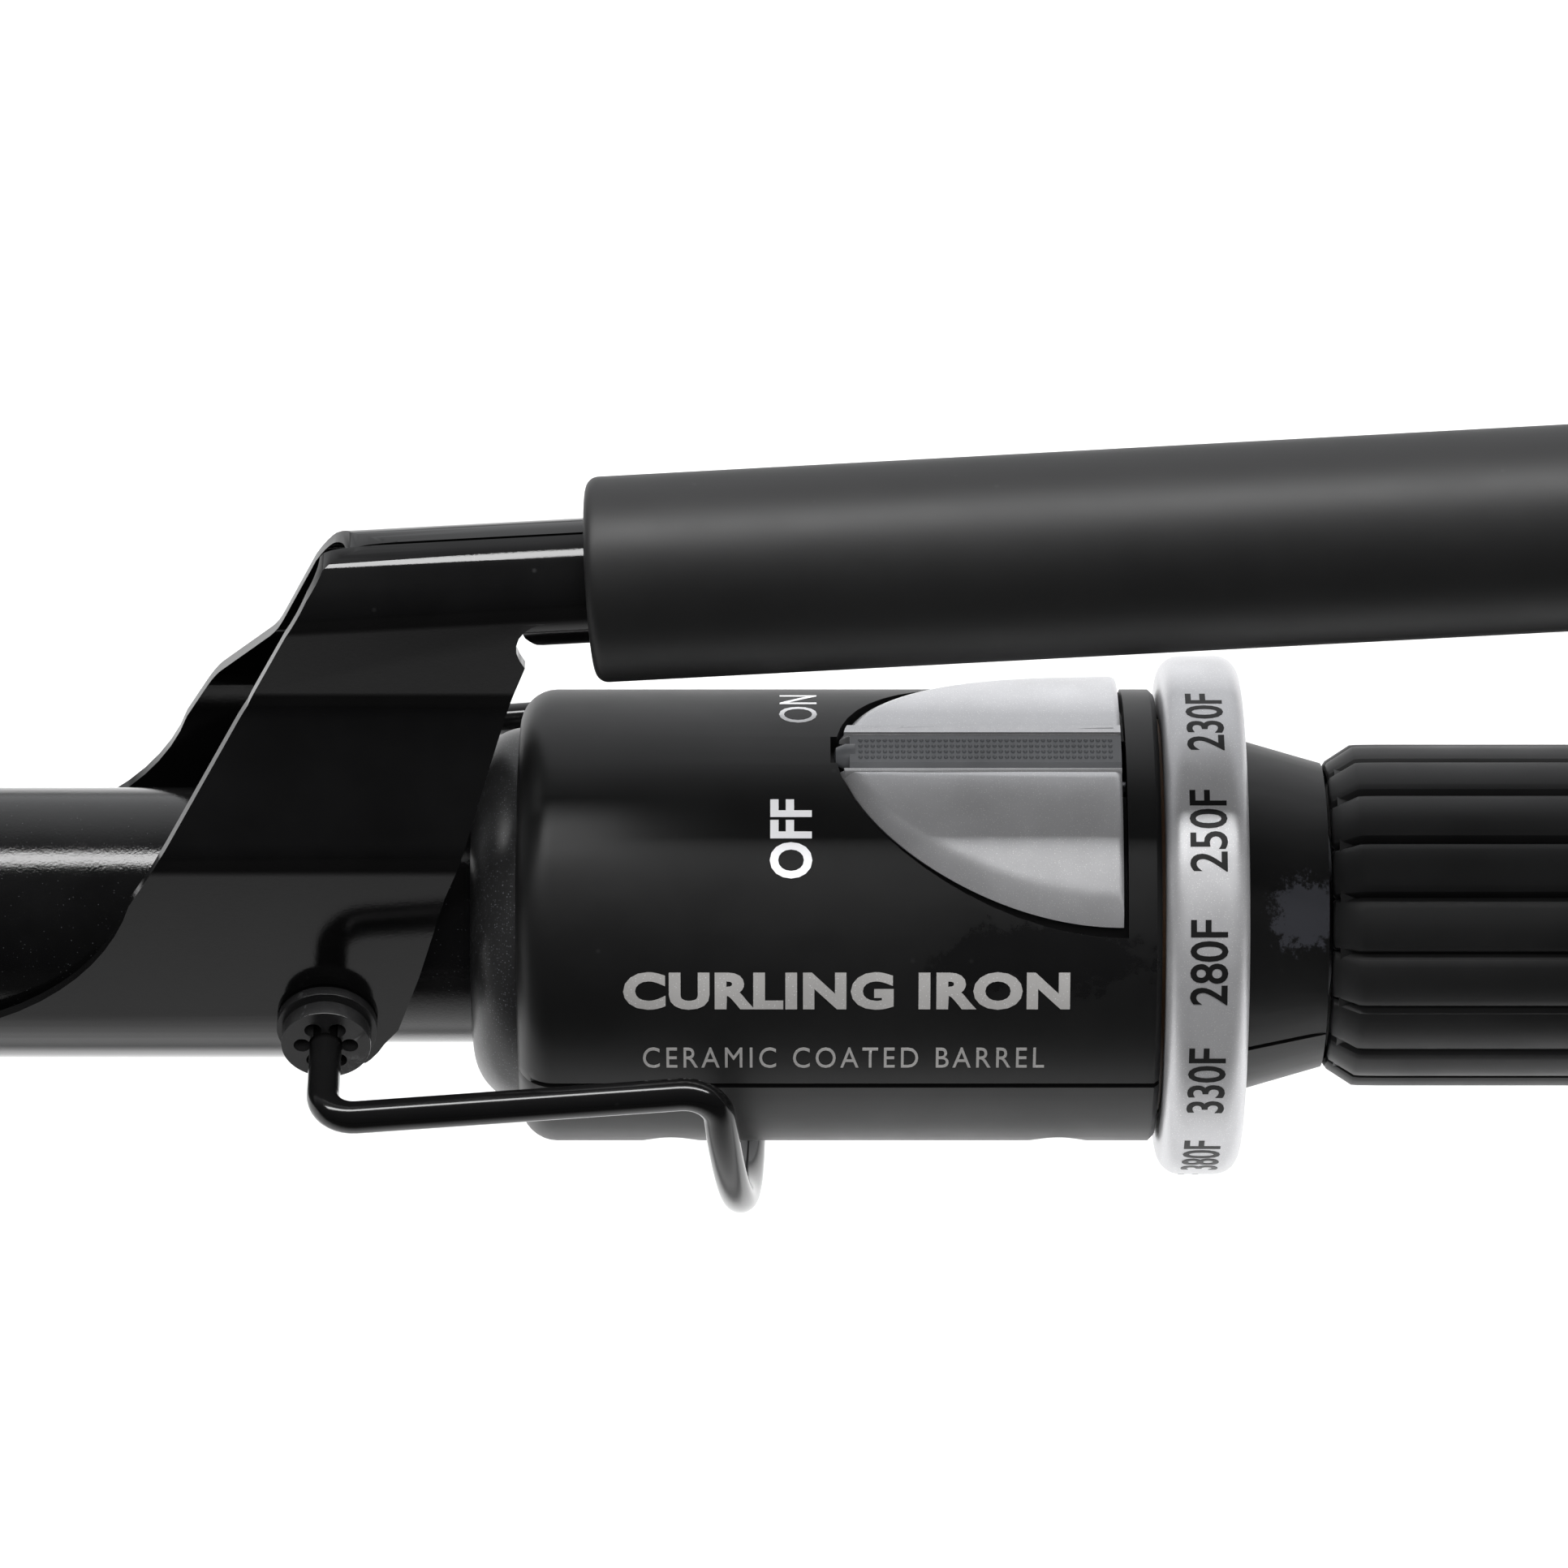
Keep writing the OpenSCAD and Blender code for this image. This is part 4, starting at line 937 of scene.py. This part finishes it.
def wrapped_text(name, words, x_base, radius, angle, height, bold, spacing=1.0, squeeze=1.0, flat=False):
    """Words that read upwards round the iron, letter tops towards -X, centred on an angle; or left flat."""
    curve = bpy.data.curves.new(name, "FONT")
    curve.body = words
    curve.align_x = "CENTER"
    curve.size = 1.0
    curve.offset = bold
    curve.space_character = spacing
    curve.resolution_u = 4
    holder = bpy.data.objects.new(name + "_outline", curve)
    bpy.context.scene.collection.objects.link(holder)
    graph = bpy.context.evaluated_depsgraph_get()
    printed = bpy.data.meshes.new_from_object(holder.evaluated_get(graph))
    bpy.data.objects.remove(holder)
    mesh = bmesh.new()
    mesh.from_mesh(printed)
    bmesh.ops.remove_doubles(mesh, verts=mesh.verts, dist=1e-4)
    bmesh.ops.triangulate(mesh, faces=mesh.faces)
    long_edges = [e for e in mesh.edges if e.calc_length() > LONG_EDGE]
    bmesh.ops.subdivide_edges(mesh, edges=long_edges, cuts=3)
    bmesh.ops.triangulate(mesh, faces=mesh.faces)
    tall = max(v.co.y for v in mesh.verts) - min(v.co.y for v in mesh.verts)
    scale = height / tall
    for v in mesh.verts:
        turn = angle + v.co.x * scale * squeeze / radius
        v.co = v.co * scale if flat else on_round(x_base - v.co.y * scale, radius, turn)
    mesh.to_mesh(printed)
    mesh.free()
    obj = bpy.data.objects.new(name, printed)
    bpy.context.scene.collection.objects.link(obj)
    thick = obj.modifiers.new("print", "SOLIDIFY")
    thick.thickness = PRINT_THICKNESS
    thick.offset = 0
    return smooth(apply_modifiers(obj), 40)


STEP = math.radians(29)
TOP = math.radians(91.5)
degrees = [230, 250, 280, 330, 380, 430]
print_x = (dial_x0 + dial_x1) / 2 + 1.25 * MM
for place, value in enumerate(degrees):
    number = wrapped_text(f"number_{value}", f"{value}F", print_x, DIAL_R, TOP - place * STEP,
                          2.75 * MM, 0.012, squeeze=0.86)
    fit(number, black_ink, "dial", "silver_paint")

# %% [markdown]
# The housing carries OFF and ON beside the switch, read round the drum, and two plain lines that are
# read along it. Both kinds use the same wrapped print.

# %% Words on the housing
off_word = wrapped_text("word_off", "OFF", pivot.x + 35.6 * MM, DRUM_R, math.radians(63.3), 3.1 * MM,
                        0.03, 1.05, 0.84)
fit(off_word, white_ink, "frame", "soft_touch")
on_word = wrapped_text("word_on", "ON", pivot.x + 36.1 * MM, DRUM_R, math.radians(110), 2.8 * MM,
                       0.0, 1.1, 0.85)
fit(on_word, white_ink, "frame", "soft_touch")


def along_text(name, words, x_left, width, angle, height, bold, spacing=1.0):
    """Words that read along the iron towards +X, letter tops upwards, wrapped round the drum."""
    obj = wrapped_text(name, words, 0, DRUM_R, 0, height, bold, spacing, flat=True)
    left = min(v.co.x for v in obj.data.vertices)
    stretch = width / (max(v.co.x for v in obj.data.vertices) - left)
    for v in obj.data.vertices:
        v.co = on_round(x_left + (v.co.x - left) * stretch, DRUM_R + v.co.z, angle + v.co.y / DRUM_R)
    obj.data.update()
    return obj


line_1 = along_text("words_large", "CURLING IRON", pivot.x + 22 * MM, 32.5 * MM, math.radians(20.5),
                    2.9 * MM, 0.05, 1.1)
fit(line_1, silver_ink, "frame", "soft_touch")
line_2 = along_text("words_small", "CERAMIC COATED BARREL", pivot.x + 23.4 * MM, 29.3 * MM, math.radians(2.5),
                    1.9 * MM, 0.0, 1.25)
fit(line_2, silver_ink, "frame", "soft_touch")

# %% [markdown]
# ## The main grip
# The grip's rubber is a ring of equal ribs with thin grooves between them. One rib is modelled with
# a crowned top and bevelled ends, and Geometry Nodes repeats it round the axis.

# %% One rib
grip_x0, grip_x1 = low("grip_rubber"), high("grip_rubber")
RIBS = 18
rib_half = math.pi / RIBS
BEVEL = 2.2 * MM
GROOVE = 0.16 * MM
base_r = GRIP_R - 1.9 * MM


def rib_section(x, top, inset=0.0):
    """Points of a rib's section at a station: up one side, over the crowned top, down the other."""
    half = rib_half * top - GROOVE - inset
    shoulder = 0.5 * MM
    points = [(-half, base_r)]
    for i in range(17):
        across = -1 + 2 * i / 16
        over = half * across
        near = (half - abs(over)) / shoulder
        fall = shoulder * (1 - math.sqrt(max(0, 1 - (1 - min(1, near)) ** 2)))
        points.append((over, top - 0.28 * MM * across ** 2 - fall))
    points.append((half, base_r))
    return [on_round(x, radius, over / radius) for over, radius in points]


stations = [
    (grip_x0, GRIP_R - 1.5 * MM, 0.1 * MM), (grip_x0 + 0.15 * MM, GRIP_R - 1.25 * MM, 0.0),
    (grip_x0 + BEVEL * 0.9, GRIP_R - 0.06 * MM, 0.0), (grip_x0 + BEVEL * 1.1, GRIP_R - 0.02 * MM, 0.0)]
middle = [(grip_x0 + 4 * MM + (grip_x1 - grip_x0 - 8 * MM) * i / 10, GRIP_R, 0.0) for i in range(11)]
mirrored = [(grip_x1 - (x - grip_x0), top, inset) for x, top, inset in stations[::-1]]
sections = [rib_section(*s) for s in stations + middle + mirrored]
size = len(sections[0])
rib_faces = [(i * size + k, i * size + (k + 1) % size, (i + 1) * size + (k + 1) % size, (i + 1) * size + k)
             for i in range(len(sections) - 1) for k in range(size)]
rib_faces += [tuple(range(size)), tuple(range((len(sections) - 1) * size, len(sections) * size))]
rib = smooth(outward(new_object("one_rib", [v for s in sections for v in s], rib_faces)), 30)

# %% The ring of ribs
ring_tree, r_in, r_out = modifier_tree("rib_ring", [("Count", "NodeSocketInt"), ("Start", FLOAT),
                                                    ("Finish", "NodeSocketMaterial")])
build = Tree(ring_tree)
points = build.add("GeometryNodePoints", Count=r_in["Count"])
index = build.add("GeometryNodeInputIndex").outputs[0]
step = build.math("DIVIDE", math.tau, r_in["Count"])
turn = build.add("ShaderNodeCombineXYZ", X=build.math("MULTIPLY_ADD", index, step, r_in["Start"]))
copies = build.add("GeometryNodeInstanceOnPoints", Points=points.outputs[0],
                   Instance=r_in["Geometry"], Rotation=turn.outputs[0])
close_tree(ring_tree, copies, r_in["Finish"], r_out["Geometry"])

ribs = run_tree(rib, ring_tree, {"Count": RIBS, "Start": 0.0, "Finish": rubber_black})
ribs.name = "grip_ribs"
smooth(ribs, 30)
fit(ribs, rubber_black, "grip", "grip_rubber", "grip_rubber")
web = turned("grip_web", [(grip_x0 + 0.5 * MM, base_r - 0.9 * MM), (grip_x0 + 0.5 * MM, base_r + 0.7 * MM),
                          (grip_x1 - 0.5 * MM, base_r + 0.7 * MM), (grip_x1 - 0.5 * MM, base_r - 0.9 * MM)],
             closed=True)
fit(web, rubber_black, "grip", "grip_rubber")

# %% [markdown]
# The grip ends in a soft-touch cap, and a ribbed gland turns inside it so that the cord never winds
# up. Both are turned, and the gland's rings come from one short pattern of steps.

# %% Rear cap and cord gland
cap_x0, cap_x1 = low("rear_cap"), high("rear_cap")
rear_r = high("rear_cap", 1)
rear = turned("grip_rear_cap", [
    (cap_x0, 9.1 * MM), (cap_x0, rear_r - 0.3 * MM), (cap_x0 + 0.3 * MM, rear_r),
    *round_corner(cap_x1 - 3 * MM, rear_r - 3 * MM, 3 * MM, 90, 8, 10),
    (cap_x1, 7.9 * MM), (cap_x1 - 0.3 * MM, 7.5 * MM), (cap_x1 - 1.2 * MM, 7.5 * MM),
    (cap_x1 - 1.2 * MM, 9.1 * MM)],
    closed=True)
fit(rear, soft_touch, "grip", "soft_touch", "rear_cap")

gland_x1 = high("cord_gland")
gland_x0 = gland_x1 - 7.7 * MM
gland = turned("cord_swivel_gland", [
    (gland_x0 - 4.9 * MM, 2.0 * MM), (gland_x0 - 4.9 * MM, 4.1 * MM), (gland_x0, 4.1 * MM),
    (gland_x0, 7.0 * MM), *round_corner(gland_x0 + 0.4 * MM, 6.8 * MM, 0.4 * MM, 180, 90, 4),
    (gland_x0 + 1.5 * MM, 7.2 * MM),
    *[(gland_x0 + (1.9 + 1.1 * i + d) * MM, (7.05 - 0.24 * i - s) * MM) for i in range(4)
      for d, s in ((0, 0), (0.35, 0.35), (0.6, 0.35), (0.9, 0.02))],
    (gland_x1 - 0.5 * MM, 5.8 * MM), (gland_x1, 5.2 * MM),
    (gland_x1, 3.9 * MM), (gland_x1 - 0.3 * MM, 3.6 * MM), (gland_x1 - 8 * MM, 3.6 * MM),
    (gland_x1 - 8 * MM, 2.0 * MM)],
    closed=True)
fit(gland, gland_plastic, "cord_swivel", "gland_plastic", "cord_gland")

# %% [markdown]
# ## Inner pieces
# The pieces inside keep their CAD solids. They still get the finish of the real material, because
# they show when the housing is opened or a part is looked at on its own.

# %% Finishes of the CAD nodes that stay
inner = {
    "heater_core": ceramic, "contact_carrier": ceramic, "heat_spreader_upper": spreader_metal,
    "heat_spreader_lower": spreader_metal, "insulating_sleeve": glass_sleeve,
    "temperature_sensor": sensor_amber, "thermal_fuse": bright_steel, "hinge_bracket": plain_steel,
    "shell_screws": bright_steel,
    "control_board": board_green, "switch_module": module_black, "indicator_lamp": lamp_red,
    "dial_track_board": board_brown, "rocker_pin": bright_steel, "swivel_spindle": plain_steel,
    "heater_leads": lead_cream, "supply_leads": lead_black, "spindle_washer": bright_steel,
    "spindle_clip": plain_steel, "tang_plug": plain_steel, "tang_washer": bright_steel,
    "tang_screw": bright_steel, "dial_wiper": brass, "slip_contacts": brass, "grip_core": soft_touch}
for node, material in inner.items():
    mesh = frame["nodes"][node].data
    mesh.materials.clear()
    mesh.materials.append(material)
print(len(inner), "inner pieces finished")
